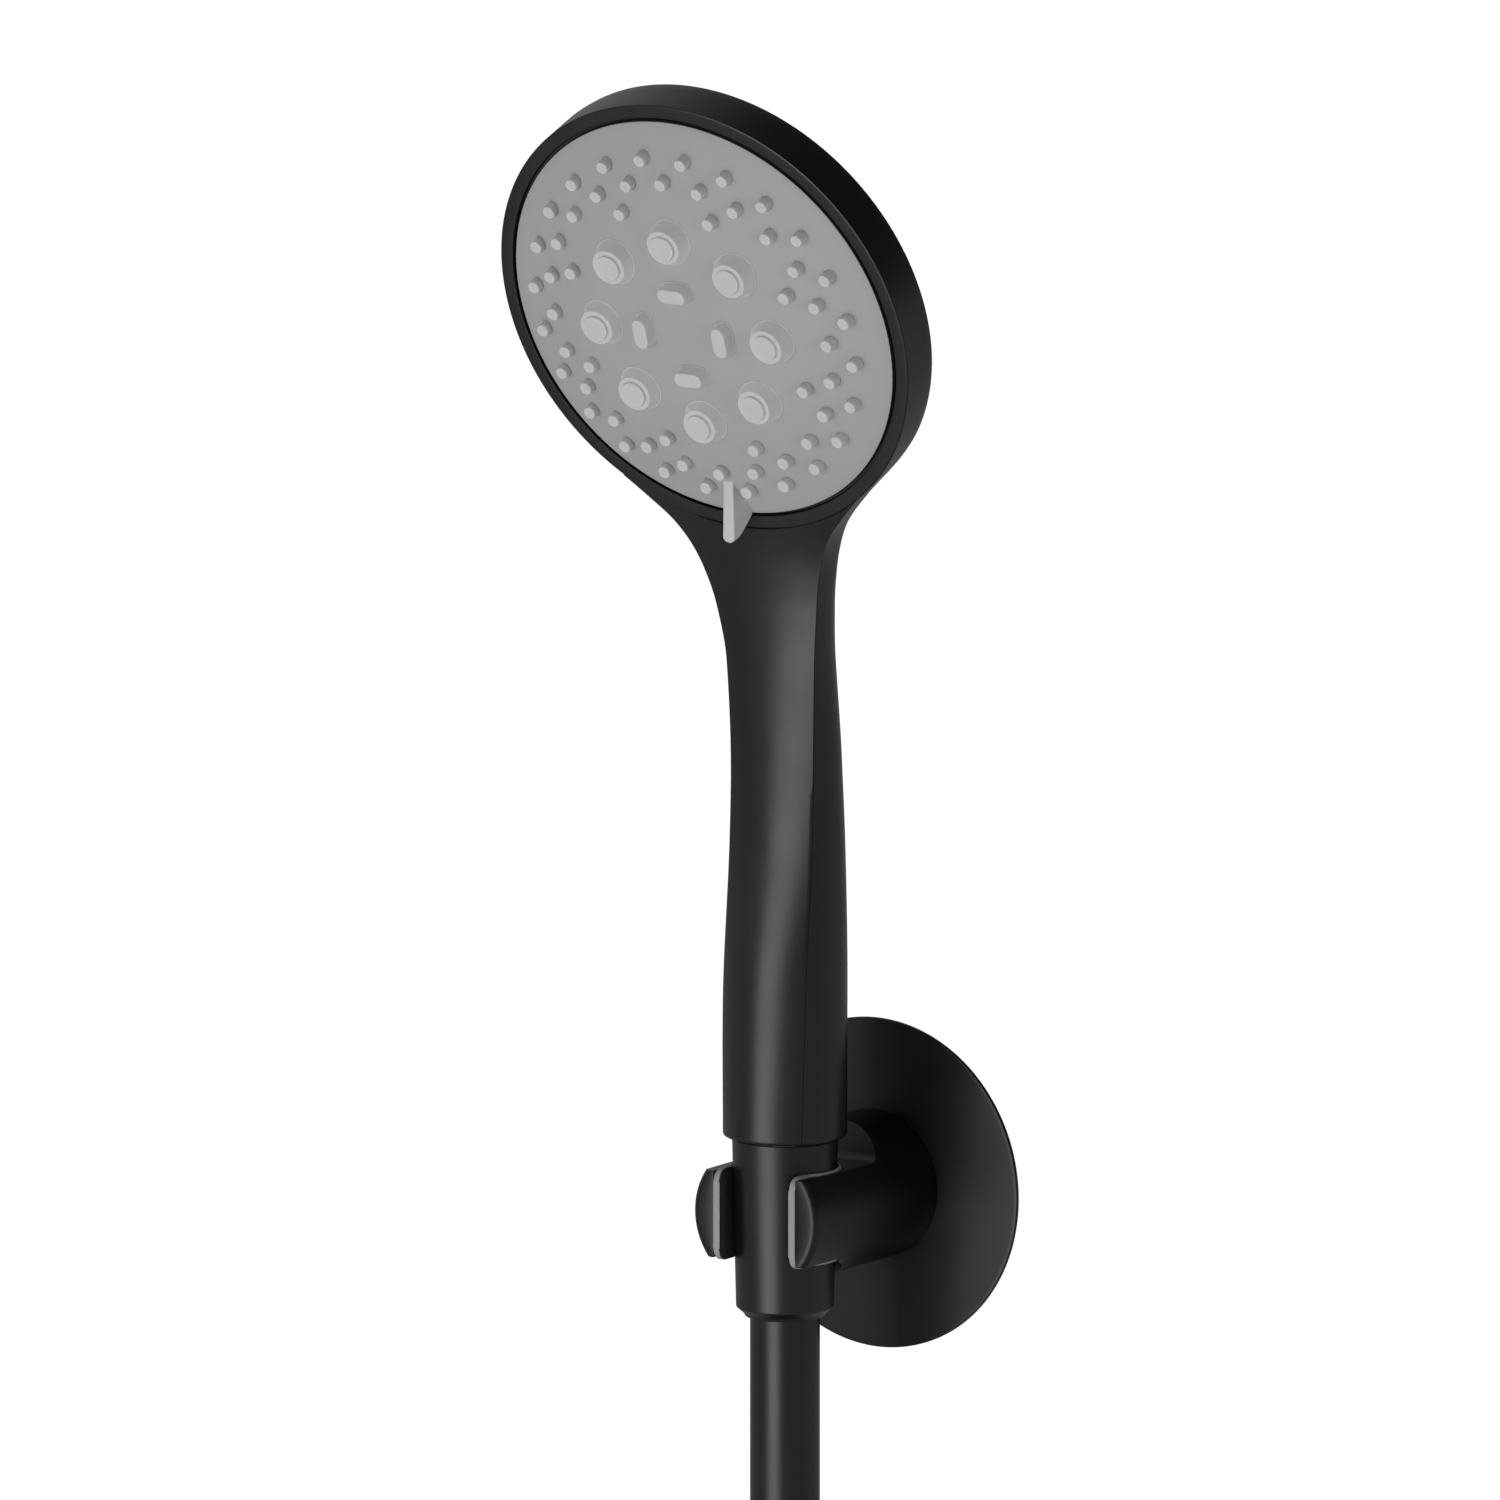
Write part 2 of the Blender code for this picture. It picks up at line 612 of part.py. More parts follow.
# ================================================================ handset
sheet("rear_shell", rear_surface(12, 24, 8, 2.6), BLACK, WALL)
sheet("front_cover", front_surface(8, 14, 1.0), BLACK, WALL)
finish("bezel_ring", turned([
    (FACE_R + GAP, -0.2), (FACE_R + GAP + 0.3, 0.15), (HEAD_R - 0.7, 0.15), (HEAD_R, -0.6),
    (HEAD_R, -2.2), (FACE_R + 1.4, -2.2), (FACE_R + 1.4, -4.4), (FACE_R + GAP, -4.4)], 48), BLACK, HEAD)

# water way in the handle
finish("inlet_spigot", turned([
    (5.0, 2.7), (10.1, 2.7), (10.1, 16.5), (11.7, 16.5), (11.7, 19.6), (9.6, 19.8), (9.6, 34.0),
    (6.8, 34.0), (6.8, 24.0), (5.0, 24.0)], 16), INNER, nut_axis)
finish("flow_limiter", turned([
    (1.5, 5.0), (4.7, 5.0), (4.7, 8.0), (1.5, 8.0)], 12), RUBBER, nut_axis)
finish("inlet_o_ring", turned([
    (5.15, 28.2), (5.8, 27.5), (6.45, 28.2), (6.45, 29.2), (5.8, 29.9), (5.15, 29.2)], 14), RUBBER, nut_axis)

STUB_H, STUB_R = -9.0, 4.2
STUB_END = -60.0


def tube_axis():
    """Centreline of the water tube, bent forward in the neck to meet the valve body."""
    end = HEAD @ Vector((0, STUB_END - GAP, STUB_H))
    low = Vector((0, -CLIP_Y, 24.3))
    keys = [low, Vector((0, -CLIP_Y, 60.0)), Vector((0, -38.9, 95.0)), Vector((0, -39.0, 122.0))]
    keys += [end - UPV * 16.0, end - UPV * 8.0, end]
    return keys


def swept_tube(name, pts, r_out, r_in, mat, segs=8):
    """Hollow tube through points in the plane X = 0."""
    bm = bmesh.new()
    rings = []
    for i, p in enumerate(pts):
        d = (pts[min(i + 1, len(pts) - 1)] - pts[max(i - 1, 0)]).normalized()
        e = Vector((1, 0, 0))
        f = d.cross(e)
        rings.append([[bm.verts.new(p + (e * math.cos(2 * math.pi * k / segs)
                                         + f * math.sin(2 * math.pi * k / segs)) * r)
                       for k in range(segs)] for r in (r_out, r_in)])
    for i in range(len(pts) - 1):
        for w in (0, 1):
            a, b = rings[i][w], rings[i + 1][w]
            for k in range(segs):
                m = (k + 1) % segs
                bm.faces.new((a[k], a[m], b[m], b[k]))
    for ring in (rings[0], rings[-1]):
        for k in range(segs):
            m = (k + 1) % segs
            bm.faces.new((ring[0][k], ring[0][m], ring[1][m], ring[1][k]))
    return finish(name, bm, mat)


swept_tube("water_tube", catmull(tube_axis(), 2), 4.8, 3.6, INNER)

# valve body: back plate of the head with its inlet arm
valve = finish("valve_body", turned([
    (0, -6.0), (51.4, -6.0), (51.4, -8.6), (47.0, -9.2), (20.0, -9.8), (0, -9.8)], 36), INNER, HEAD)
arm_block = block(-7.0, 7.0, -52.0, -14.0, -13.0, -6.6)
stub = turned([(0, STUB_END), (STUB_R, STUB_END), (STUB_R, -49.0), (0, -49.0)], 12)
bmesh.ops.rotate(stub, cent=(0, 0, 0), matrix=Matrix.Rotation(math.radians(-90), 3, 'X'), verts=stub.verts)
bmesh.ops.translate(stub, vec=(0, 0, STUB_H), verts=stub.verts)
boss = rod(3.6, -12.4, -8.0, 12, (0, 35.5))
boolean(valve, [arm_block, stub, boss], HEAD, 'UNION', "add")
bore = turned([(0, STUB_END - 1), (2.7, STUB_END - 1), (2.7, -22.0), (0, -22.0)], 10)
bmesh.ops.rotate(bore, cent=(0, 0, 0), matrix=Matrix.Rotation(math.radians(-90), 3, 'X'), verts=bore.verts)
bmesh.ops.translate(bore, vec=(0, 0, STUB_H), verts=bore.verts)
port = turned([(0, -5.0), (5.0, -5.0), (5.0, -8.2), (2.4, -8.2), (2.4, -9.4), (0, -9.4)], 16)
bmesh.ops.translate(port, vec=(0, -26.0, 0), verts=port.verts)
hub = turned([(0, -5.0), (6.4, -5.0), (6.4, -7.7), (4.5, -7.7), (4.5, -14.0), (0, -14.0)], 18)
pocket = rod(2.2, -12.0, -5.0, 12, (0, 35.5))
boolean(valve, [bore, port, hub, pocket], HEAD, name="bore")
finish("hub_o_ring", turned([(4.35, -6.4), (6.1, -6.4), (6.1, -7.4), (4.35, -7.4)], 18), RUBBER, HEAD)
seal = turned([(2.6, -5.75), (4.6, -5.75), (4.6, -6.9), (2.6, -6.9)], 16)
bmesh.ops.translate(seal, vec=(0, -26.0, 0), verts=seal.verts)
finish("port_seal", seal, RUBBER, HEAD)


def helix(name, r, wire, h0, h1, turns, centre, mat, frame):
    pts, per = [], 9
    bm = bmesh.new()
    n = int(per * turns)
    rings = []
    for i in range(n + 1):
        a = 2 * math.pi * i / per
        c = Vector((centre[0] + r * math.cos(a), centre[1] + r * math.sin(a), h0 + (h1 - h0) * i / n))
        rad = Vector((math.cos(a), math.sin(a), 0))
        rings.append([bm.verts.new(c + rad * wire * math.cos(2 * math.pi * k / 5)
                                   + Vector((0, 0, wire * math.sin(2 * math.pi * k / 5)))) for k in range(5)])
    for a, b in zip(rings, rings[1:]):
        for k in range(5):
            m = (k + 1) % 5
            bm.faces.new((a[k], a[m], b[m], b[k]))
    bm.faces.new(rings[0])
    bm.faces.new(rings[-1][::-1])
    return finish(name, bm, mat, frame)


helix("port_spring", 3.5, 0.28, -7.75, -7.25, 1.4, (0, -26.0), STEEL, HEAD)
helix("detent_spring", 1.45, 0.25, -11.6, -9.7, 2.5, (0, 35.5), STEEL, HEAD)
ball = bmesh.new()
bmesh.ops.create_uvsphere(ball, u_segments=12, v_segments=8, radius=1.75)
bmesh.ops.translate(ball, vec=(0, 35.5, -7.6), verts=ball.verts)
finish("detent_ball", ball, STEEL, HEAD)

# ---- rotating group: distributor, turbine, nozzle mat, face and lever


def dome_h(r):
    return FACE_CROWN * (1 - (r / FACE_R) ** 2)


dist = finish("distributor_disc", turned([
    (0, -3.3), (14.6, -3.3), (14.6, dome_h(16) - 3.9), (16.2, dome_h(16.2) - 3.9), (16.2, -3.3),
    (28.0, -3.3), (28.0, dome_h(28) - 3.9), (29.4, dome_h(29.4) - 3.9), (29.4, -3.3),
    (44.8, -3.3), (44.8, -2.4), (46.2, -2.4), (46.2, -5.5), (4.2, -5.5), (4.2, -9.2),
    (1.9, -9.2), (1.9, -5.2), (0, -5.2)], 24), INNER, HEAD)
ports = []
for k, (rr, ang) in enumerate(((26.0, 270), (22.0, 232), (20.0, 308))):
    a = math.radians(ang)
    ports.append(rod(2.0, -6.5, -2.5, 10, (rr * math.cos(a), rr * math.sin(a))))
boolean(dist, [join_bm(ports)], HEAD, name="port")
finish("hub_screw", turned([(0, -5.6), (1.6, -5.6), (1.6, -10.1), (4.2, -10.1), (4.2, -11.4), (0, -11.6)], 14),
       STEEL, HEAD)
finish("turbine_axle", turned([(0, -3.0), (1.0, -3.0), (1.0, 3.6), (0, 3.6)], 10), STEEL, HEAD)
fan = finish("turbine", turned([(1.4, -2.7), (4.0, -2.7), (4.0, 2.6), (1.4, 2.6)], 16), INNER, HEAD)
blades = []
for k in range(6):
    b = block(3.4, 12.8, -0.7, 0.7, -2.4, 1.9)
    bmesh.ops.rotate(b, cent=(0, 0, 0), matrix=Matrix.Rotation(math.radians(25), 3, 'X'), verts=b.verts)
    bmesh.ops.rotate(b, cent=(0, 0, 0), matrix=Matrix.Rotation(math.radians(60 * k), 3, 'Z'), verts=b.verts)
    blades.append(b)
boolean(fan, [join_bm(blades)], HEAD, 'UNION', "blade")


def slot_outline(half_len, half_w, cx, cy, ang, n=3):
    """Stadium with its long axis across the radius."""
    pts = []
    for side in (1, -1):
        for i in range(n + 1):
            a = math.pi * i / n - math.pi / 2
            x = side * (half_len - half_w) + side * half_w * math.cos(a)
            y = side * half_w * math.sin(a)
            pts.append((cx + x * math.cos(ang) - y * math.sin(ang), cy + x * math.sin(ang) + y * math.cos(ang)))
    return pts


def nozzle(r, deg, r_base, r_tip, h0, h1, segs):
    a = math.radians(deg)
    bm = turned([(0, h0), (r_base, h0), (r_tip, h1), (0, h1)], segs)
    bmesh.ops.translate(bm, vec=(r * math.cos(a), r * math.sin(a), 0), verts=bm.verts)
    return bm


RINGS = 4                      # the face and the mat share their facets, so they stay parallel


def dome_profile(edge, drop):
    return [(FACE_R * k / RINGS, dome_h(FACE_R * k / RINGS) - drop) for k in range(RINGS)] + \
           [(edge, dome_h(edge) - drop)]


face = finish("spray_face", turned(
    dome_profile(FACE_R, 0.0) + [(FACE_R, -4.2), (FACE_R - 2.0, -4.2)] +
    dome_profile(FACE_R - 2.0, 2.0)[::-1], 36), FACE_MAT, HEAD)
holes, nips = [], []
for k in range(4):
    a = math.radians(90 * k)
    cx, cy = SLOT_RING * math.cos(a), SLOT_RING * math.sin(a)
    o1 = slot_outline(4.2 + GAP, 2.3 + GAP, cx, cy, a + math.pi / 2)
    holes.append(prism(o1, -5, 15))
    nips.append(prism(slot_outline(4.2, 2.3, cx, cy, a + math.pi / 2), dome_h(10.7) - 3.2, dome_h(10.7) + 3.0,
                      slot_outline(3.5, 1.6, cx, cy, a + math.pi / 2)))
for k in range(8):
    holes.append(nozzle(BIG_RING, 45 * k, 5.4 + GAP, 5.4 + GAP, -8, 15, 10))
    nips.append(nozzle(BIG_RING, 45 * k, 5.4, 3.9, dome_h(BIG_RING) - 3.2, dome_h(BIG_RING) + 3.3, 10))
for r, count, off in SMALL_RINGS:
    for k in range(count):
        d = off + 360.0 * k / count
        holes.append(nozzle(r, d, 1.6 + GAP, 1.6 + GAP, -8, 15, 4))
        nips.append(nozzle(r, d, 1.6, 1.4, dome_h(r) - 3.0, dome_h(r) + 2.6, 4))
boolean(face, [join_bm(holes)], HEAD, name="holes")
MAT_R = 46.6
mat = finish("nozzle_mat", turned(
    dome_profile(MAT_R, 2.3) + dome_profile(MAT_R, 3.6)[::-1], 36), NOZZLE_MAT, HEAD)
boolean(mat, [join_bm(nips)], HEAD, 'UNION', "nip")

# lever on the rim of the face: a fin that widens where it meets the face
tab = bmesh.new()
secs = []
for k in range(6):
    t = k / 5
    r = 40.4 + (54.1 - 40.4) * t
    top = 3.9 + (8.0 - 3.9) * t
    low = dome_h(r) + GAP + 0.05
    if r > 49.5:
        low = 0.75 + 5.9 * max(0.0, r - 50.2) / 3.9
    w_top = 1.2 + 0.4 * t
    w_low = w_top + (0.6 if t < 0.8 else 0.3)
    if k == 0:
        top = low + 0.7
    secs.append([(-w_low, low), (-w_top, top), (w_top, top), (w_low, low), r])
rows = [[tab.verts.new((x, -s[4], h)) for x, h in s[:4]] for s in secs]
for a, b in zip(rows, rows[1:]):
    for k in range(4):
        m = (k + 1) % 4
        tab.faces.new((a[k], a[m], b[m], b[k]))
tab.faces.new(rows[0])
tab.faces.new(rows[-1][::-1])
finish("selector_tab", tab, NOZZLE_MAT, HEAD)
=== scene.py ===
"""Looks of the handheld shower head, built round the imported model.

Positions are millimetres in the row frame and are scaled when a mesh is made.
The wall is Y = 0, the holder reaches out along -Y, +Z is up.
"""
import bpy
import bmesh
import math
from mathutils import Vector, Matrix


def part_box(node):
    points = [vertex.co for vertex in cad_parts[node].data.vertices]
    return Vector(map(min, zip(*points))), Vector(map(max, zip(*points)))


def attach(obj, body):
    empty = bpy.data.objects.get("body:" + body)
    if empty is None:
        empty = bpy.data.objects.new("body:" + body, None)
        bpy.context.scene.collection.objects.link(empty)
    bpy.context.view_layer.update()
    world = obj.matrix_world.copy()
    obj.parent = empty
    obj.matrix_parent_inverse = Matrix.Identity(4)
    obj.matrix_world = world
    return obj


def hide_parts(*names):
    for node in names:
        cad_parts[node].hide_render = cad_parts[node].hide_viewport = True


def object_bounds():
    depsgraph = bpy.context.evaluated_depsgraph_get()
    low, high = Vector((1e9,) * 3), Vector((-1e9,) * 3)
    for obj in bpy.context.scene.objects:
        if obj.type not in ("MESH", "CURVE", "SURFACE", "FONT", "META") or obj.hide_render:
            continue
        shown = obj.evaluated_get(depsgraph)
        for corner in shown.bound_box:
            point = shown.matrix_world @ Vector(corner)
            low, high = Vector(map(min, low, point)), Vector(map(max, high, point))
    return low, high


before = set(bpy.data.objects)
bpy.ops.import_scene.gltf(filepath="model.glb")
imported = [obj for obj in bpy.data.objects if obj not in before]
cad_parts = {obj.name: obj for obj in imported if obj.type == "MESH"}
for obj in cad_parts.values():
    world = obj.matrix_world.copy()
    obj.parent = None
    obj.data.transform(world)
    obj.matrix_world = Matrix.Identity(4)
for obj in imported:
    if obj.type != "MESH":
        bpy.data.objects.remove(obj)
CAD_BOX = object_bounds()
MM = 0.001

# ------------------------------------------------------------------ dimensions
FLANGE_R = 38.3
ARM_R_BACK, ARM_R_FRONT, ARM_FRONT = 17.2, 17.0, 51.8
TOP_FLAT, LOW_FLAT, UNDER_Y = 9.7, 10.4, 36.3
CLIP_Y = 39.04
JAW_GAP, LINER_T, LINER_R = 9.4, 1.7, 12.8
POST_R, POST_LEN = 11.7, 13.5
NUT_TOP_Z, NUT_TOP_R = 16.8, 12.1
NUT_LOW_Z, NUT_LOW_R = -22.4, 11.2
NUT_END_Z = -24.6
HOSE_R = 7.9
HOSE_TOP_Z = -14.3
BEND_Z, BEND_R = -120.0, 90.0
COIL_R, COIL_PITCH, COIL_FRONT_Y = 90.0, 17.0, -60.5
JOIN_DEG, TURN_DEG = 121.0, 59.0 + 720.0
HANDLE_Z0 = 17.1
HEAD_Y, HEAD_Z = -72.5, 211.85
HEAD_TILT = math.radians(19.02)
HEAD_R, BAND_DEPTH, DOME_BACK = 54.2, 11.7, 7.0
FACE_R, FACE_CROWN = 50.24, 8.1
SLOT_RING, BIG_RING = 10.73, 23.02
SMALL_RINGS = ((31.46, 8, 22.5), (37.25, 24, 0.0), (42.48, 24, 7.5))

HEAD = Matrix.Translation((0, HEAD_Y, HEAD_Z)) @ Matrix((
    (1, 0, 0, 0),
    (0, -math.sin(HEAD_TILT), -math.cos(HEAD_TILT), 0),
    (0, math.cos(HEAD_TILT), -math.sin(HEAD_TILT), 0),
    (0, 0, 0, 1)))
UP_Z = Matrix.Identity(4)
OUT_Y = Matrix.Rotation(math.radians(90), 4, 'X')
NUT_AXIS = Matrix.Translation((0, -CLIP_Y, 0))
N = (HEAD.to_3x3() @ Vector((0, 0, 1))).normalized()
UPV = (HEAD.to_3x3() @ Vector((0, 1, 0))).normalized()
BACK = -N

# ------------------------------------------------------------------ camera
AZ, EL = math.radians(33.47), math.radians(10.65)
B = Vector((math.sin(AZ) * math.cos(EL), -math.cos(AZ) * math.cos(EL), math.sin(EL)))
TARGET = Vector((-0.034687, -0.001058, 0.097032))
cam_data = bpy.data.cameras.new("camera")
cam_data.type = 'PERSP'
cam_data.sensor_width = 36.0
cam_data.lens = 1600.0
cam_data.clip_start = 0.5
cam_data.clip_end = 500.0
cam = bpy.data.objects.new("camera", cam_data)
cam.location = TARGET + B * (1600.0 / 36.0 * 0.342 * 1.0032)
cam.rotation_euler = (-B).to_track_quat('-Z', 'Y').to_euler()
bpy.context.scene.collection.objects.link(cam)
bpy.context.scene.camera = cam


# ------------------------------------------------------------------ materials
def nodes_of(name):
    m = bpy.data.materials.new(name)
    m.use_nodes = True
    nt = m.node_tree
    return m, nt, nt.nodes["Principled BSDF"]


def add(nt, kind, **props):
    n = nt.nodes.new(kind)
    for k, v in props.items():
        setattr(n, k, v)
    return n


def plastic(name, rgb, rough, grain=2600.0, bump=0.12, dist=0.00002, vary=0.06, tone=0.12,
            ior=1.45, spec=0.5, metal=0.0, coat=0.0, sub=0.0):
    """Moulded plastic: fine grain in the surface, slow drift in gloss and tone."""
    m, nt, b = nodes_of(name)
    co = add(nt, 'ShaderNodeTexCoord')
    fine = add(nt, 'ShaderNodeTexNoise')
    fine.inputs["Scale"].default_value = grain
    fine.inputs["Detail"].default_value = 3.0
    nt.links.new(co.outputs["Object"], fine.inputs["Vector"])
    slow = add(nt, 'ShaderNodeTexNoise')
    slow.inputs["Scale"].default_value = 60.0
    slow.inputs["Detail"].default_value = 2.0
    nt.links.new(co.outputs["Object"], slow.inputs["Vector"])
    mix = add(nt, 'ShaderNodeMix', data_type='RGBA')
    mix.inputs["A"].default_value = (rgb[0] * (1 - tone), rgb[1] * (1 - tone), rgb[2] * (1 - tone), 1)
    mix.inputs["B"].default_value = (rgb[0] * (1 + tone), rgb[1] * (1 + tone), rgb[2] * (1 + tone), 1)
    both = add(nt, 'ShaderNodeMath', operation='MULTIPLY_ADD')
    both.inputs[1].default_value = 0.35
    nt.links.new(fine.outputs["Fac"], both.inputs[0])
    half = add(nt, 'ShaderNodeMath', operation='MULTIPLY')
    half.inputs[1].default_value = 0.65
    nt.links.new(slow.outputs["Fac"], half.inputs[0])
    nt.links.new(half.outputs[0], both.inputs[2])
    nt.links.new(both.outputs[0], mix.inputs["Factor"])
    nt.links.new(mix.outputs["Result"], b.inputs["Base Color"])
    rr = add(nt, 'ShaderNodeMapRange')
    rr.inputs["To Min"].default_value = rough - vary
    rr.inputs["To Max"].default_value = rough + vary
    nt.links.new(slow.outputs["Fac"], rr.inputs["Value"])
    nt.links.new(rr.outputs["Result"], b.inputs["Roughness"])
    bp = add(nt, 'ShaderNodeBump')
    bp.inputs["Strength"].default_value = bump
    bp.inputs["Distance"].default_value = dist
    nt.links.new(fine.outputs["Fac"], bp.inputs["Height"])
    nt.links.new(bp.outputs["Normal"], b.inputs["Normal"])
    b.inputs["IOR"].default_value = ior
    b.inputs["Specular IOR Level"].default_value = spec
    b.inputs["Metallic"].default_value = metal
    if coat:
        b.inputs["Coat Weight"].default_value = coat
        b.inputs["Coat Roughness"].default_value = 0.3
    if sub:
        b.inputs["Subsurface Weight"].default_value = sub
        b.inputs["Subsurface Scale"].default_value = 0.0015
        b.inputs["Subsurface Radius"].default_value = (1.0, 1.0, 1.0)
    return m


def brushed(name, rgb, rough, scale=(900.0, 900.0, 40.0)):
    """Turned or brushed metal: long fine lines and a slightly uneven polish."""
    m, nt, b = nodes_of(name)
    co = add(nt, 'ShaderNodeTexCoord')
    mp = add(nt, 'ShaderNodeMapping')
    mp.inputs["Scale"].default_value = scale
    nt.links.new(co.outputs["Object"], mp.inputs["Vector"])
    lines = add(nt, 'ShaderNodeTexNoise')
    lines.inputs["Scale"].default_value = 3.0
    lines.inputs["Detail"].default_value = 4.0
    nt.links.new(mp.outputs["Vector"], lines.inputs["Vector"])
    ramp = add(nt, 'ShaderNodeMapRange')
    ramp.inputs["To Min"].default_value = max(0.05, rough - 0.1)
    ramp.inputs["To Max"].default_value = rough + 0.12
    nt.links.new(lines.outputs["Fac"], ramp.inputs["Value"])
    nt.links.new(ramp.outputs["Result"], b.inputs["Roughness"])
    mix = add(nt, 'ShaderNodeMix', data_type='RGBA')
    mix.inputs["A"].default_value = tuple(c * 0.85 for c in rgb) + (1,)
    mix.inputs["B"].default_value = tuple(min(1, c * 1.08) for c in rgb) + (1,)
    nt.links.new(lines.outputs["Fac"], mix.inputs["Factor"])
    nt.links.new(mix.outputs["Result"], b.inputs["Base Color"])
    bp = add(nt, 'ShaderNodeBump')
    bp.inputs["Strength"].default_value = 0.1
    bp.inputs["Distance"].default_value = 0.00002
    nt.links.new(lines.outputs["Fac"], bp.inputs["Height"])
    nt.links.new(bp.outputs["Normal"], b.inputs["Normal"])
    b.inputs["Metallic"].default_value = 1.0
    return m


BLACK = plastic("black_abs_satin", (0.0035, 0.0035, 0.0037), 0.36, ior=1.47)
HOLDER_M = plastic("black_abs_holder", (0.0035, 0.0035, 0.0037), 0.36, ior=1.42)
HOSE_M = plastic("black_pvc_hose", (0.0035, 0.0035, 0.0036), 0.36, grain=1800.0, bump=0.10, ior=1.47)
COATED = plastic("black_coated_nut", (0.005, 0.005, 0.0052), 0.4, ior=1.5)
FACE_M = plastic("grey_spray_face", (0.335, 0.335, 0.337), 0.62, grain=3000.0, tone=0.025, vary=0.04, ior=1.4)
NOZ_M = plastic("pale_silicone", (0.52, 0.52, 0.522), 0.7, grain=3500.0, tone=0.03, vary=0.04, ior=1.38, sub=0.7)
TAB_M = plastic("pale_lever", (0.50, 0.50, 0.502), 0.55, grain=3000.0, tone=0.03, vary=0.04, ior=1.4)
LINER_M = plastic("grey_grip_liner", (0.265, 0.265, 0.267), 0.65, grain=3000.0, tone=0.04, vary=0.04, ior=1.4)
ACETAL = plastic("natural_acetal", (0.72, 0.71, 0.67), 0.42, tone=0.04, sub=0.05)
RUBBER = plastic("black_rubber", (0.018, 0.018, 0.018), 0.75, grain=1500.0, bump=0.25)
BRASS = brushed("turned_brass", (0.68, 0.49, 0.22), 0.3)
STEEL = brushed("stainless_steel", (0.55, 0.55, 0.56), 0.3)


def strap_material():
    """Woven black tie."""
    m, nt, b = nodes_of("woven_tie")
    co = add(nt, 'ShaderNodeTexCoord')
    w1 = add(nt, 'ShaderNodeTexWave', wave_type='BANDS', bands_direction='Y')
    w1.inputs["Scale"].default_value = 420.0
    w2 = add(nt, 'ShaderNodeTexWave', wave_type='BANDS', bands_direction='X')
    w2.inputs["Scale"].default_value = 420.0
    nt.links.new(co.outputs["Object"], w1.inputs["Vector"])
    nt.links.new(co.outputs["Object"], w2.inputs["Vector"])
    mx = add(nt, 'ShaderNodeMath', operation='MULTIPLY')
    nt.links.new(w1.outputs["Fac"], mx.inputs[0])
    nt.links.new(w2.outputs["Fac"], mx.inputs[1])
    mix = add(nt, 'ShaderNodeMix', data_type='RGBA')
    mix.inputs["A"].default_value = (0.01, 0.01, 0.01, 1)
    mix.inputs["B"].default_value = (0.03, 0.03, 0.031, 1)
    nt.links.new(mx.outputs[0], mix.inputs["Factor"])
    nt.links.new(mix.outputs["Result"], b.inputs["Base Color"])
    bp = add(nt, 'ShaderNodeBump')
    bp.inputs["Strength"].default_value = 0.5
    bp.inputs["Distance"].default_value = 0.0002
    nt.links.new(mx.outputs[0], bp.inputs["Height"])
    nt.links.new(bp.outputs["Normal"], b.inputs["Normal"])
    b.inputs["Roughness"].default_value = 0.85
    return m


STRAP = strap_material()


# ------------------------------------------------------------------ mesh helpers
def emit(name, bm, mat, body, replaces=(), transform=UP_Z, angle=32, weld=1e-4, recalc=True):
    """Millimetre geometry to a finished, smooth shaded piece that rides on a body."""
    if weld:
        bmesh.ops.remove_doubles(bm, verts=bm.verts, dist=weld)
    bmesh.ops.transform(bm, matrix=transform, verts=bm.verts)
    if recalc:
        bmesh.ops.recalc_face_normals(bm, faces=bm.faces)
    bmesh.ops.scale(bm, vec=(MM, MM, MM), verts=bm.verts)
    me = bpy.data.meshes.new(name)
    bm.to_mesh(me)
    bm.free()
    me.materials.append(mat)
    me.shade_smooth()
    if angle:
        me.set_sharp_from_angle(angle=math.radians(angle))
    ob = bpy.data.objects.new(name, me)
    bpy.context.scene.collection.objects.link(ob)
    if body:
        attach(ob, body)
    if replaces:
        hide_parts(*replaces)
    return ob


def apply_modifiers(ob, angle=32):
    """Turns the evaluated mesh into the object's own mesh."""
    bpy.context.view_layer.update()
    dg = bpy.context.evaluated_depsgraph_get()
    me = bpy.data.meshes.new_from_object(ob.evaluated_get(dg), depsgraph=dg)
    ob.modifiers.clear()
    old = ob.data
    ob.data = me
    bpy.data.meshes.remove(old)
    me.shade_smooth()
    if angle:
        me.set_sharp_from_angle(angle=math.radians(angle))
    return ob


def cut(ob, parts, op='DIFFERENCE', angle=32):
    """Boolean with temporary cutters, applied at once."""
    for k, (bm, tr) in enumerate(parts):
        c = emit("cutter", bm, BLACK, None, transform=tr)
        m = ob.modifiers.new("b%d" % k, 'BOOLEAN')
        m.operation = op
        m.solver = 'EXACT'
        m.object = c
        apply_modifiers(ob, angle)
        bpy.data.objects.remove(c, do_unlink=True)
    return ob


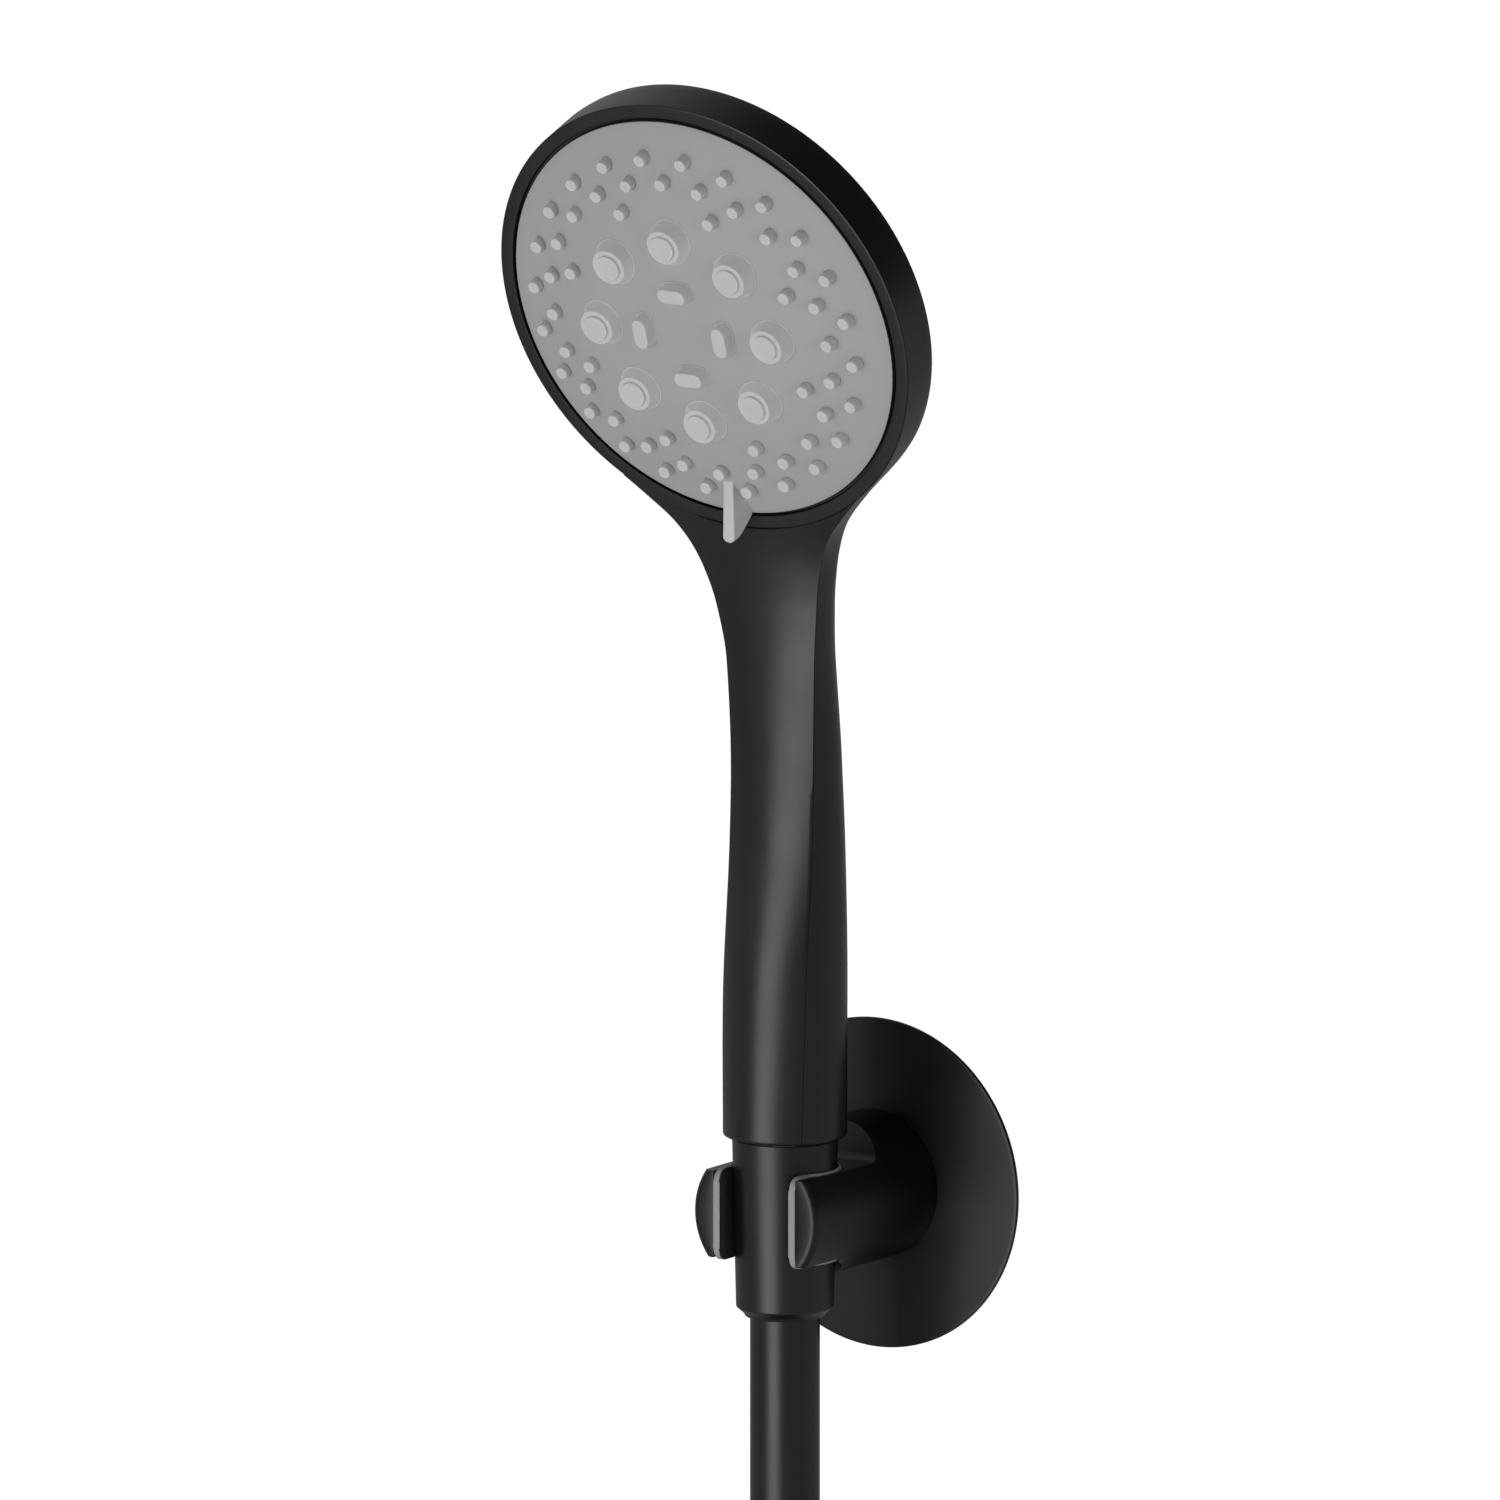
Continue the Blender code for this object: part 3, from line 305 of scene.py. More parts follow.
def fillet(pts, closed=True, n=4):
    """Outline with rounded corners. A point is (x, y) or (x, y, radius)."""
    out = []
    m = len(pts)
    for i in range(m):
        p = Vector(pts[i][:2])
        r = pts[i][2] if len(pts[i]) > 2 else 0.0
        if r <= 0 or (not closed and i in (0, m - 1)):
            out.append((p.x, p.y))
            continue
        a, b = Vector(pts[(i - 1) % m][:2]), Vector(pts[(i + 1) % m][:2])
        u, v = (a - p).normalized(), (b - p).normalized()
        ang = u.angle(v)
        if ang > math.pi - 0.02:
            out.append((p.x, p.y))
            continue
        d = min(r / math.tan(ang / 2), 0.49 * (a - p).length, 0.49 * (b - p).length)
        rr = d * math.tan(ang / 2)
        c = p + (u + v).normalized() * (rr / math.sin(ang / 2))
        s, e = p + u * d - c, p + v * d - c
        turn = math.atan2(s.x * e.y - s.y * e.x, s.dot(e))
        for k in range(n + 1):
            t = turn * k / n
            out.append((c.x + s.x * math.cos(t) - s.y * math.sin(t),
                        c.y + s.x * math.sin(t) + s.y * math.cos(t)))
    return out


def turned(profile, segs=96, bm=None):
    """Solid of revolution about local Z from a closed (radius, height) outline."""
    bm = bm or bmesh.new()
    rings = []
    for r, h in profile:
        if r < 1e-6:
            rings.append([bm.verts.new((0, 0, h))])
        else:
            rings.append([bm.verts.new((r * math.cos(2 * math.pi * i / segs),
                                        r * math.sin(2 * math.pi * i / segs), h)) for i in range(segs)])
    n = len(rings)
    for k in range(n):
        a, b = rings[k], rings[(k + 1) % n]
        if len(a) == 1 and len(b) == 1:
            continue
        for i in range(segs):
            j = (i + 1) % segs
            if len(a) == 1:
                bm.faces.new((a[0], b[i], b[j]))
            elif len(b) == 1:
                bm.faces.new((a[i], b[0], a[j]))
            else:
                bm.faces.new((a[i], b[i], b[j], a[j]))
    return bm


def block(x0, x1, y0, y1, z0, z1):
    bm = bmesh.new()
    bmesh.ops.create_cube(bm, size=1.0)
    bmesh.ops.scale(bm, vec=(x1 - x0, y1 - y0, z1 - z0), verts=bm.verts)
    bmesh.ops.translate(bm, vec=((x0 + x1) / 2, (y0 + y1) / 2, (z0 + z1) / 2), verts=bm.verts)
    return bm


def skin(rings, caps=True, closed=False):
    """Surface through a list of closed rings with equal point counts."""
    bm = bmesh.new()
    vs = [[bm.verts.new(p) for p in r] for r in rings]
    n = len(vs[0])
    pairs = list(zip(vs, vs[1:])) + ([(vs[-1], vs[0])] if closed else [])
    for a, b in pairs:
        for i in range(n):
            j = (i + 1) % n
            bm.faces.new((a[i], a[j], b[j], b[i]))
    if caps and not closed:
        bm.faces.new(vs[0][::-1])
        bm.faces.new(vs[-1])
    return bm


def prism(outline, h0, h1):
    return skin([[(x, y, h0) for x, y in outline], [(x, y, h1) for x, y in outline]])


def join_bm(parts):
    out = bmesh.new()
    for p in parts:
        me = bpy.data.meshes.new("tmp")
        p.to_mesh(me)
        p.free()
        out.from_mesh(me)
        bpy.data.meshes.remove(me)
    return out


def smooth(t):
    t = max(0.0, min(1.0, t))
    return t * t * (3 - 2 * t)


def stations(x, pts, col):
    n = len(pts)
    if x <= pts[0][0]:
        return pts[0][col]
    if x >= pts[-1][0]:
        return pts[-1][col]
    d = [(pts[i + 1][col] - pts[i][col]) / (pts[i + 1][0] - pts[i][0]) for i in range(n - 1)]
    m = [d[0]] + [0.0 if d[i - 1] * d[i] <= 0 else 2 * d[i - 1] * d[i] / (d[i - 1] + d[i])
                  for i in range(1, n - 1)] + [d[-1]]
    i = max(k for k in range(n - 1) if pts[k][0] <= x)
    h = pts[i + 1][0] - pts[i][0]
    t = (x - pts[i][0]) / h
    return ((2 * t ** 3 - 3 * t ** 2 + 1) * pts[i][col] + (t ** 3 - 2 * t ** 2 + t) * h * m[i]
            + (-2 * t ** 3 + 3 * t ** 2) * pts[i + 1][col] + (t ** 3 - t ** 2) * h * m[i + 1])


# ------------------------------------------------------------------ hose and coil
def route():
    """The hose's centreline: down, an easy bend, the tied turns, a straight tail."""
    out = []
    n = 36
    for i in range(n):
        out.append((Vector((0, -CLIP_Y, HOSE_TOP_Z + (BEND_Z - HOSE_TOP_Z) * i / n)), 'lead'))
    turn = math.radians(180 - JOIN_DEG)
    n = 32
    for i in range(n):
        a = turn * i / n
        out.append((Vector((-BEND_R * (1 - math.cos(a)), -CLIP_Y, BEND_Z - BEND_R * math.sin(a))), 'lead'))
    join = Vector((-BEND_R * (1 - math.cos(turn)), 0, BEND_Z - BEND_R * math.sin(turn)))
    j = math.radians(JOIN_DEG)
    centre = join - Vector((math.cos(j), 0, math.sin(j))) * COIL_R
    n = 400
    for i in range(n + 1):
        a = math.radians(TURN_DEG) * i / n
        out.append((Vector((centre.x + COIL_R * math.cos(j + a),
                            COIL_FRONT_Y + COIL_PITCH * math.degrees(a) / 360,
                            centre.z + COIL_R * math.sin(j + a))), 'coil'))
    pts = []
    for p, s in out:
        if s == 'lead':
            k = smooth((-72.0 - p.z) / 92.0)
            p = Vector((p.x, -CLIP_Y + (COIL_FRONT_Y + CLIP_Y) * k, p.z))
        pts.append(p)
    coil_end = pts[-1]
    used = sum((b - a).length for a, b in zip(pts, pts[1:]))
    return pts, centre, coil_end, used


PTS, COIL_C, COIL_END, USED = route()
end_lo, end_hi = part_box("end_insert")
END = Vector(((end_lo.x + end_hi.x) / 2, (end_lo.y + end_hi.y) / 2, end_hi.z)) * 1000.0 + Vector((0, 0, 0.3))
for i in range(1, 13):
    PTS.append(COIL_END.lerp(END, i / 12))

cu = bpy.data.curves.new("shower_hose", 'CURVE')
cu.dimensions = '3D'
cu.bevel_depth = 8.02 * MM
cu.bevel_resolution = 12
cu.use_fill_caps = True
sp = cu.splines.new('POLY')
sp.points.add(len(PTS) - 1)
for q, p in zip(sp.points, PTS):
    q.co = (p.x * MM, p.y * MM, p.z * MM, 1.0)
sp.use_smooth = True
cu.materials.append(HOSE_M)
hose = bpy.data.objects.new("shower_hose", cu)
bpy.context.scene.collection.objects.link(hose)
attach(hose, "hose")
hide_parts("hose", "hose_coil", "hose_end")

# tie: a flat strap round the turns, with its free end lapped over
coil_y0 = COIL_FRONT_Y - HOSE_R
coil_y1 = COIL_FRONT_Y + COIL_PITCH * TURN_DEG / 360 + HOSE_R
TIE = (Matrix.Translation((COIL_C.x, (coil_y0 + coil_y1) / 2, COIL_C.z))
       @ Matrix.Rotation(-math.radians(62.0), 4, 'Y') @ Matrix.Translation((COIL_R, 0, 0)))
hw, hd = HOSE_R + 0.35, (coil_y1 - coil_y0) / 2 + 0.3


def rounded_rect(w, d, r, n=8):
    return fillet([(w, -d, r), (w, d, r), (-w, d, r), (-w, -d, r)], n=n)


def strap(outer_w, outer_d, t, r, half, lift=0.0):
    rings = []
    sec = fillet([(0, -half, 0.35), (t, -half, 0.35), (t, half, 0.35), (0, half, 0.35)], n=3)
    for s, h in sec:
        rings.append([(x, y, h) for x, y in rounded_rect(outer_w + s, outer_d + s, r + s)])
    return skin(rings, caps=False, closed=True)


tie = emit("hose_tie", strap(hw, hd, 1.1, 5.0, 3.9), STRAP, "hose", ("coil_tie",), TIE)
lap = emit("hose_tie_end", skin([
    [(hw + 1.1 + dz, y, h) for y, h in fillet([(-12, -3.6, 1.2), (13, -3.6, 1.2), (13, 3.6, 1.2), (-12, 3.6, 1.2)])]
    for dz in (-0.2, 0.75, 0.9)]), STRAP, "hose", transform=TIE)

# the hose's far end
END_AXIS = Matrix.Translation(END)
knurl = bmesh.new()
KN = 96
prof = fillet([(7.0, -5.4, 0.2), (10.4, -5.4, 0.4), (11.9, -6.6, 0.4), (11.9, -7.6), (11.9, -18.6), (11.9, -20.0, 0.5),
               (11.3, -20.6, 0.3), (10.5, -20.6, 0.3), (10.5, -9.6, 0.3), (7.0, -9.6, 0.2)], n=3)
rings = []
for r, h in prof:
    ring = []
    for i in range(KN):
        rr = r
        if r > 11.0 and -19.4 < h < -7.0:
            rr = r - 0.35 * (i % 4 == 0) - 0.1 * (i % 4 in (1, 3))
        a = 2 * math.pi * i / KN
        ring.append((rr * math.cos(a), rr * math.sin(a), h))
    rings.append(ring)
emit("hose_end_nut", skin(rings, closed=True), COATED, "end_nut", ("end_nut",), END_AXIS, angle=20)
emit("hose_end_washer", turned(fillet([(5.0, -12.8, 0.3), (9.6, -12.8, 0.4), (9.6, -14.8, 0.4), (5.0, -14.8, 0.3)]), 64),
     RUBBER, "end_nut", ("end_washer",), END_AXIS)

# ------------------------------------------------------------------ handset form
FORM = (
    (16.4, 10.5, -48.67, 4.62, -39.04, 14.25, 14.25),
    (50.0, 11.1, -47.90, 4.30, -38.90, 14.25, 14.25),
    (86.0, 11.1, -45.10, 2.70, -38.50, 13.60, 13.10),
    (104.0, 11.2, -44.55, 2.30, -38.50, 13.05, 12.10),
    (127.0, 11.9, -45.20, 2.00, -39.30, 12.50, 10.80),
    (141.0, 13.7, -47.00, 1.90, -41.00, 13.95, 10.00),
    (149.0, 15.65, -49.00, 1.90, -42.50, 15.90, 9.40),
    (154.5, 17.80, -50.75, 1.90, -43.80, 18.00, 9.10),
    (160.0, 21.20, -53.00, 1.90, -45.20, 21.30, 9.00),
    (165.3, 26.40, -55.60, 1.60, -46.80, 26.50, 9.00),
    (170.5, 32.00, -58.25, 0.80, -48.50, 32.10, 9.00),
)
SPINE = ((127.0, -28.5), (141.0, -31.0), (149.0, -33.1), (160.0, -36.4), (170.0, -39.9),
         (180.0, -43.8), (190.0, -47.5), (200.0, -50.8), (210.0, -53.5), (218.0, -55.2))
Z_JOIN = 170.5
PHI_JOIN = -math.asin((HEAD_Z - Z_JOIN) / math.cos(HEAD_TILT) / HEAD_R)
POLE = Vector((0, HEAD_Y, HEAD_Z)) + BACK * (BAND_DEPTH + DOME_BACK)


def form(z, col):
    return stations(z, FORM, col)


def edge_point(z):
    return Vector((form(z, 1), form(z, 2), z))


def dome_path(start, end, n):
    pts = []
    rim = start + BACK * BAND_DEPTH
    for i in range(n + 1):
        s = i / n
        if s < 0.25:
            pts.append(start + BACK * (BAND_DEPTH * s / 0.25))
        else:
            t = (s - 0.25) / 0.75
            pts.append(rim.lerp(end, t) + BACK * DOME_BACK * ((1 - (1 - t) ** 2.5) - t))
    return pts


def soften(pts, reach):
    """Rounds the corners of a path by averaging over a short reach, ends kept."""
    acc = [0.0]
    for p, q in zip(pts, pts[1:]):
        acc.append(acc[-1] + (q - p).length)
    out = []
    for i, p in enumerate(pts):
        r = min(reach, acc[i], acc[-1] - acc[i])
        if r < 1e-6:
            out.append(p.copy())
            continue
        s, w = Vector((0, 0, 0)), 0.0
        for k in range(-4, 5):
            q = at_length(pts, acc, acc[i] + r * k / 4)
            g = 1.0 - abs(k) / 5.0
            s += q * g
            w += g
        out.append(s / w)
    return out


def at_length(pts, acc, d):
    d = max(0.0, min(acc[-1], d))
    lo, hi = 0, len(acc) - 1
    while hi - lo > 1:
        mid = (lo + hi) // 2
        if acc[mid] <= d:
            lo = mid
        else:
            hi = mid
    t = (d - acc[lo]) / max(1e-9, acc[hi] - acc[lo])
    return pts[lo].lerp(pts[hi], t)


def side_path(z, n=96):
    edge = edge_point(z)
    y0, a, b = form(z, 4), form(z, 5), form(z, 6)
    w = smooth((z - 136.0) / (Z_JOIN - 136.0))
    zm = z + (POLE.z - Z_JOIN) * w * w
    yb = stations(zm, SPINE, 1) if zm > 127.0 else y0 + b
    a0 = -math.acos(min(0.985, edge.x / a))
    first = Vector((a * math.cos(a0), y0 + b * math.sin(a0), z))
    drum = dome_path(edge, Vector((0, yb, zm)), n)
    out = []
    for i in range(n + 1):
        s = i / n
        al = a0 + (math.pi / 2 - a0) * s
        g = smooth(s)
        p = Vector((a * math.cos(al), y0 + b * math.sin(al) + (yb - y0 - b) * g, z + (zm - z) * g))
        p += (edge - first) * (1 - s) ** 3.5
        out.append(p.lerp(drum[i], w))
    return soften(out, 2.2)


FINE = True
SEAM = 0.32                    # where the rear shell's edge starts behind the front edge


def resample(pts, n, start):
    acc = [0.0]
    for p, q in zip(pts, pts[1:]):
        acc.append(acc[-1] + (q - p).length)
    res = [at_length(pts, acc, start + d) for d in (0.0, 0.12, 0.3)]
    for k in range(1, n + 1):
        res.append(at_length(pts, acc, start + 0.3 + (acc[-1] - start - 0.3) * k / n))
    return res


def foot_round(p, z):
    """Small round at the foot of the handle."""
    t = (z - HANDLE_Z0) / 1.1
    if t >= 1:
        return p
    inset = 1.1 * (1 - math.sqrt(max(0.0, 1 - (1 - t) ** 2)))
    c = Vector((0, -CLIP_Y, p.z))
    d = (p - c)
    return c + d * (1 - inset / d.length)


FOOT = [0.0, 0.06, 0.2, 0.45, 0.8, 1.1]


def handle_levels(top, n):
    return [HANDLE_Z0 + f for f in FOOT] + \
        [HANDLE_Z0 + 1.1 + (top - HANDLE_Z0 - 1.1) * (1 - (1 - k / n) ** 1.25) for k in range(1, n + 1)]


def rear_rows(rows_handle, rows_head, cols):
    right = []
    for z in handle_levels(Z_JOIN, rows_handle)[:-1]:
        right.append([foot_round(p, z) for p in resample(side_path(z), cols, SEAM)])
    head = []
    for i in range(rows_head + 1):
        phi = PHI_JOIN + (math.pi - 2 * PHI_JOIN) * i / rows_head
        rim = HEAD @ Vector((HEAD_R * math.cos(phi), HEAD_R * math.sin(phi), 0))
        head.append(resample(soften(dome_path(rim, POLE, 96), 2.2), cols, SEAM))
    left = [[Vector((-p.x, p.y, p.z)) for p in row] for row in reversed(right)]
    rows = right + head + left
    joins = (len(right), len(right) + len(head) - 1)
    reach = 14 if FINE else 7
    for _ in range(40 if FINE else 12):              # eases the turn from handle to head
        new = [list(r) for r in rows]
        for j in joins:
            for i in range(j - reach, j + reach + 1):
                fade = smooth(1 - abs(i - j) / (reach + 1))
                for c in range(3, len(rows[0])):
                    k = fade * min(1.0, (c - 2) / (8 if FINE else 4))
                    mid = (rows[i - 1][c] + rows[i + 1][c]) / 2
                    new[i][c] = rows[i][c].lerp(mid, 0.5 * k)
        rows = new
    return rows


def front_rows(cols, rows, clear):
    grid = []
    us = [-1 + 2 * i / cols for i in range(cols + 1)]
    for i, u in enumerate(us):
        lo, hi = 150.0, Z_JOIN
        for _ in range(44):
            mid = (lo + hi) / 2
            v = (mid - HEAD_Z) / math.cos(HEAD_TILT)
            if math.hypot(u * form(mid, 1), v) > HEAD_R + clear:
                lo = mid
            else:
                hi = mid
        grid.append((u, [(z, Vector((u * form(z, 1), form(z, 2) - form(z, 3) * (1 - u * u), z)))
                         for z in handle_levels(lo, rows)]))
    # the edge turns back a little past the crease
    out = []

    def turned_back(col, sign, depth, inward):
        res = []
        for z, p in col:
            q = side_path(z, 24)
            acc = [0.0, (q[1] - q[0]).length]
            d = (q[1] - q[0]).normalized()
            r = Vector((abs(p.x), p.y, p.z)) + d * depth
            r.x -= inward
            res.append((z, Vector((sign * r.x, r.y, r.z))))
        return res
    left, right = grid[0][1], grid[-1][1]
    out.append(turned_back(left, -1, 0.22, 0.0))
    out.append(turned_back(left, -1, 0.1, 0.0))
    out += [g[1] for g in grid[:]]
    out.append(turned_back(right, 1, 0.1, 0.0))
    out.append(turned_back(right, 1, 0.22, 0.0))
    return [[foot_round(p, z) for z, p in col] for col in out]


def shell(name, grid, mat, thick, body, replaces, angle=35):
    """Open grid to a closed wall growing inwards."""
    bm = bmesh.new()
    vs = [[bm.verts.new(p) for p in row] for row in grid]
    for i in range(len(vs) - 1):
        for j in range(len(vs[0]) - 1):
            bm.faces.new((vs[i][j], vs[i + 1][j], vs[i + 1][j + 1], vs[i][j + 1]))
    bmesh.ops.remove_doubles(bm, verts=bm.verts, dist=2e-3)
    bmesh.ops.dissolve_degenerate(bm, edges=bm.edges, dist=1e-3)
    bmesh.ops.recalc_face_normals(bm, faces=bm.faces)
    c = Vector((0, -42.0, 100.0))
    ref = min(bm.faces, key=lambda q: abs(q.calc_center_median().z - 100.0))
    if (ref.calc_center_median() - c).dot(ref.normal) < 0:
        bmesh.ops.reverse_faces(bm, faces=bm.faces)
    ob = emit(name, bm, mat, body, replaces, weld=0, recalc=False, angle=None)
    s = ob.modifiers.new("wall", 'SOLIDIFY')
    s.thickness = thick * MM
    s.offset = -1.0
    s.use_even_offset = False
    return apply_modifiers(ob, angle)


if FINE:
    shell("handset_rear_shell", rear_rows(96, 200, 44), BLACK, 1.9, "handset", ("rear_shell",))
    shell("handset_front_cover", front_rows(40, 90, 0.08), BLACK, 1.9, "handset", ("front_cover",))
else:
    shell("handset_rear_shell", rear_rows(48, 100, 24), BLACK, 1.9, "handset", ("rear_shell",))
    shell("handset_front_cover", front_rows(20, 48, 0.08), BLACK, 1.9, "handset", ("front_cover",))

# bezel ring
emit("face_bezel_ring", turned(fillet([
    (FACE_R + 0.75, -0.16, 0.1), (FACE_R + 0.9, 0.0, 0.1), (HEAD_R - 0.3, 0.0, 0.2), (HEAD_R, -0.14, 0.1),
    (HEAD_R, -0.2), (HEAD_R - 2.1, -0.2), (HEAD_R - 2.1, -2.2), (FACE_R + 1.4, -2.2), (FACE_R + 1.4, -4.4),
    (FACE_R + 0.75, -4.4)]), 256), BLACK, "handset", ("bezel_ring",), HEAD)

# cone nut under the handle
emit("handset_cone_nut", turned(fillet([
    (10.45, NUT_TOP_Z, 0.2), (NUT_TOP_R, NUT_TOP_Z, 0.35), (NUT_LOW_R, NUT_LOW_Z, 0.45),
    (9.5, -23.9, 0.3), (9.15, NUT_END_Z, 0.25), (8.35, NUT_END_Z, 0.25), (8.35, -22.6, 0.2), (9.9, -21.4),
    (9.9, 2.0), (10.45, 3.0)], n=6), 128), BLACK, "handset", ("cone_nut",), NUT_AXIS)


# ------------------------------------------------------------------ spray face
def dome_h(r):
    return FACE_CROWN * (1 - (r / FACE_R) ** 2.6)


def slot_ring(half_len, half_w, cx, cy, ang, h, n=10):
    pts = []
    for side in (1, -1):
        for i in range(n + 1):
            a = math.pi * i / n - math.pi / 2
            x = side * (half_len - half_w) + side * half_w * math.cos(a)
            y = side * half_w * math.sin(a)
            X = cx + x * math.cos(ang) - y * math.sin(ang)
            Y = cy + x * math.sin(ang) + y * math.cos(ang)
            pts.append((X, Y, h if not callable(h) else h(X, Y)))
    return pts


SEG = 144 if FINE else 96
STEPS = 30
face = emit("spray_face_plate", turned(
    [(0, dome_h(0))] + [(FACE_R * k / STEPS, dome_h(FACE_R * k / STEPS)) for k in range(1, STEPS)] +
    fillet([(FACE_R - 0.4, dome_h(FACE_R - 0.4)), (FACE_R, -0.1, 0.3), (FACE_R, -4.2), (FACE_R - 2.0, -4.2),
            (FACE_R - 2.0, dome_h(FACE_R - 2.0) - 2.0)], closed=False) +
    [(FACE_R * k / 10, dome_h(FACE_R * k / 10) - 2.0) for k in range(9, 0, -1)] + [(0, dome_h(0) - 2.0)], SEG),
    FACE_M, "selector", ("spray_face",), HEAD)

cutters, noz = [], []
for k in range(4):
    a = math.radians(90 * k)
    cx, cy = SLOT_RING * math.cos(a), SLOT_RING * math.sin(a)
    ang = a + math.pi / 2
    base = dome_h(SLOT_RING)
    cutters.append(skin([slot_ring(4.34, 2.44, cx, cy, ang, h) for h in (2.0, 14.0)]))
    foot = [(4.30, 2.40), (4.30, 2.40), (4.02, 2.12), (3.62, 1.70), (3.5, 1.6), (3.35, 1.45)]

    def on_dome(lift):
        return lambda X, Y: dome_h(math.hypot(X, Y)) + lift
    rings = [slot_ring(4.30, 2.40, cx, cy, ang, on_dome(-2.6)),
             slot_ring(4.30, 2.40, cx, cy, ang, on_dome(0.06)),
             slot_ring(4.24, 2.34, cx, cy, ang, on_dome(0.12)),
             slot_ring(4.05, 2.15, cx, cy, ang, on_dome(0.12)),
             slot_ring(3.98, 2.08, cx, cy, ang, on_dome(0.22)),
             slot_ring(3.66, 1.74, cx, cy, ang, base + 2.72),
             slot_ring(3.60, 1.68, cx, cy, ang, base + 2.88),
             slot_ring(3.46, 1.54, cx, cy, ang, base + 2.96),
             slot_ring(3.0, 1.1, cx, cy, ang, base + 3.0)]
    noz.append(skin(rings))


def place(bm, r, deg):
    a = math.radians(deg)
    bmesh.ops.translate(bm, vec=(r * math.cos(a), r * math.sin(a), 0), verts=bm.verts)
    return bm


def dome_shift(bm, r0, deg, below):
    """Drops a nozzle's foot on to the dome: points under 'below' follow its slope."""
    for v in bm.verts:
        if v.co.z < below:
            v.co.z += dome_h(math.hypot(v.co.x, v.co.y)) - dome_h(r0)
    return bm


b0 = dome_h(BIG_RING)
for k in range(8):
    cutters.append(place(turned([(0, -2.0), (5.62, -2.0), (5.62, 14.0), (0, 14.0)], 48), BIG_RING, 45 * k))
    prof = ([(0, b0 - 2.8), (5.58, b0 - 2.8), (5.58, b0 + 0.05), (5.50, b0 + 0.12), (5.30, b0 + 0.12)] +
            [(5.22, b0 + 0.2)] +
            fillet([(5.22, b0 + 0.2), (4.15, b0 + 3.1, 0.28), (3.1, b0 + 3.1, 0.06), (3.0, b0 + 3.75, 0.12),
                    (2.0, b0 + 3.75)], closed=False, n=4)[1:] + [(0, b0 + 3.75)])
    noz.append(dome_shift(place(turned(prof, 56), BIG_RING, 45 * k), BIG_RING, 45 * k, b0 + 0.3))
for r, count, off in SMALL_RINGS:
    h = dome_h(r)
    for k in range(count):
        d = off + 360.0 * k / count
        cutters.append(place(turned([(0, -4.0), (1.66, -4.0), (1.66, 14.0), (0, 14.0)], 20), r, d))
        prof = ([(0, h - 2.8), (1.62, h - 2.8), (1.62, h + 0.02)] +
                fillet([(1.62, h + 0.02), (1.42, h + 2.3, 0.2), (0.7, h + 2.3)], closed=False, n=4)[1:] +
                [(0, h + 2.3)])
        noz.append(place(turned(prof, 24), r, d))
cut(face, [(join_bm(cutters), HEAD)], angle=30)
# painted shade: the grey plate's side wall is coloured black to stand in for shade in the gap
face.data.materials.append(RUBBER)
for poly in face.data.polygons:                     # painted shade: the face's side wall under its edge gets black rubber so the gap round the face reads dark
    c = HEAD.inverted() @ (poly.center / MM)
    if math.hypot(c.x, c.y) > FACE_R - 0.12 and c.z < -0.02:
        poly.material_index = 1
# painted shade: a black ring set down in the gap round the face, standing in for the gap's shadow
emit("face_gap_shade_ring", turned(fillet([(FACE_R + 0.08, -2.2), (FACE_R + 0.7, -2.2), (FACE_R + 0.7, -1.25, 0.1),
                                       (FACE_R + 0.08, -1.25, 0.1)]), 160), RUBBER, "handset",
     transform=HEAD)
mat_r = 46.4
plate = turned([(mat_r * k / 16, dome_h(mat_r * k / 16) - 2.35) for k in range(17)] +
               [(mat_r * k / 16, dome_h(mat_r * k / 16) - 3.55) for k in range(16, -1, -1)], 96)
noz.append(plate)
emit("nozzle_mat_silicone", join_bm(noz), NOZ_M, "selector", ("nozzle_mat",), HEAD, angle=38)

# lever fin: a blade whose front ridge leans out over the bezel and whose flanks
# flare where they meet the face
tab_rings = []
TN = 30
R_IN, R_OUT = 39.9, 54.25
for k in range(TN + 1):
    t = k / TN
    r = R_IN + (R_OUT - R_IN) * (1 - (1 - t) ** 1.3)
    t = (r - R_IN) / (R_OUT - R_IN)
    top = 3.35 + (8.05 - 3.35) * t
    if r <= FACE_R:
        low = dome_h(r) - 0.25
    else:
        low = -0.25 + 7.6 * (r - FACE_R) / (R_OUT - FACE_R)
    w_top = 1.32 + 0.3 * t
    end = min(1.0, min((r - R_IN) * 1.8, R_OUT - r) / 1.5)
    w_top *= math.sqrt(max(0.03, 1 - (1 - end) ** 2))
    if r - R_IN < 1.0:
        top -= 0.35 * (1 - (r - R_IN)) ** 2
    if R_OUT - r < 1.2:
        top -= 0.55 * (1 - (R_OUT - r) / 1.2) ** 2
    full = max(0.05, top - low)
    w_low = w_top + min(0.75, 0.13 * full)
    rnd = min(0.4, w_top * 0.5, full * 0.4)
    sec = []
    m = 5
    for i in range(m + 1):                       # left flank, foot to ridge
        s = i / m
        sec.append((-(w_low + (w_top - w_low) * s ** 0.8), low + (top - rnd - low) * s))
    for i in range(1, 5):
        a = math.pi - math.pi / 2 * i / 4
        sec.append((-w_top + rnd + rnd * math.cos(a), top - rnd + rnd * math.sin(a)))
    for x, h in sec[::-1]:
        sec.append((-x, h))
    tab_rings.append([(x, -r, h) for x, h in sec])
emit("mode_lever", skin(tab_rings), TAB_M, "selector", ("selector_tab",), HEAD, angle=50)

# ------------------------------------------------------------------ wall holder
emit("wall_flange_disc", turned(fillet([
    (POST_R + 0.3, 0.0), (FLANGE_R - 0.15, 0.0, 0.15), (FLANGE_R, 0.1), (FLANGE_R, 0.95, 0.25),
    (FLANGE_R - 1.0, 1.03), (ARM_R_BACK + 4.0, 1.72), (ARM_R_BACK, 1.98), (POST_R + 0.3, 2.0)], n=5), 192),
    HOLDER_M, "bracket", ("wall_flange",), OUT_Y)

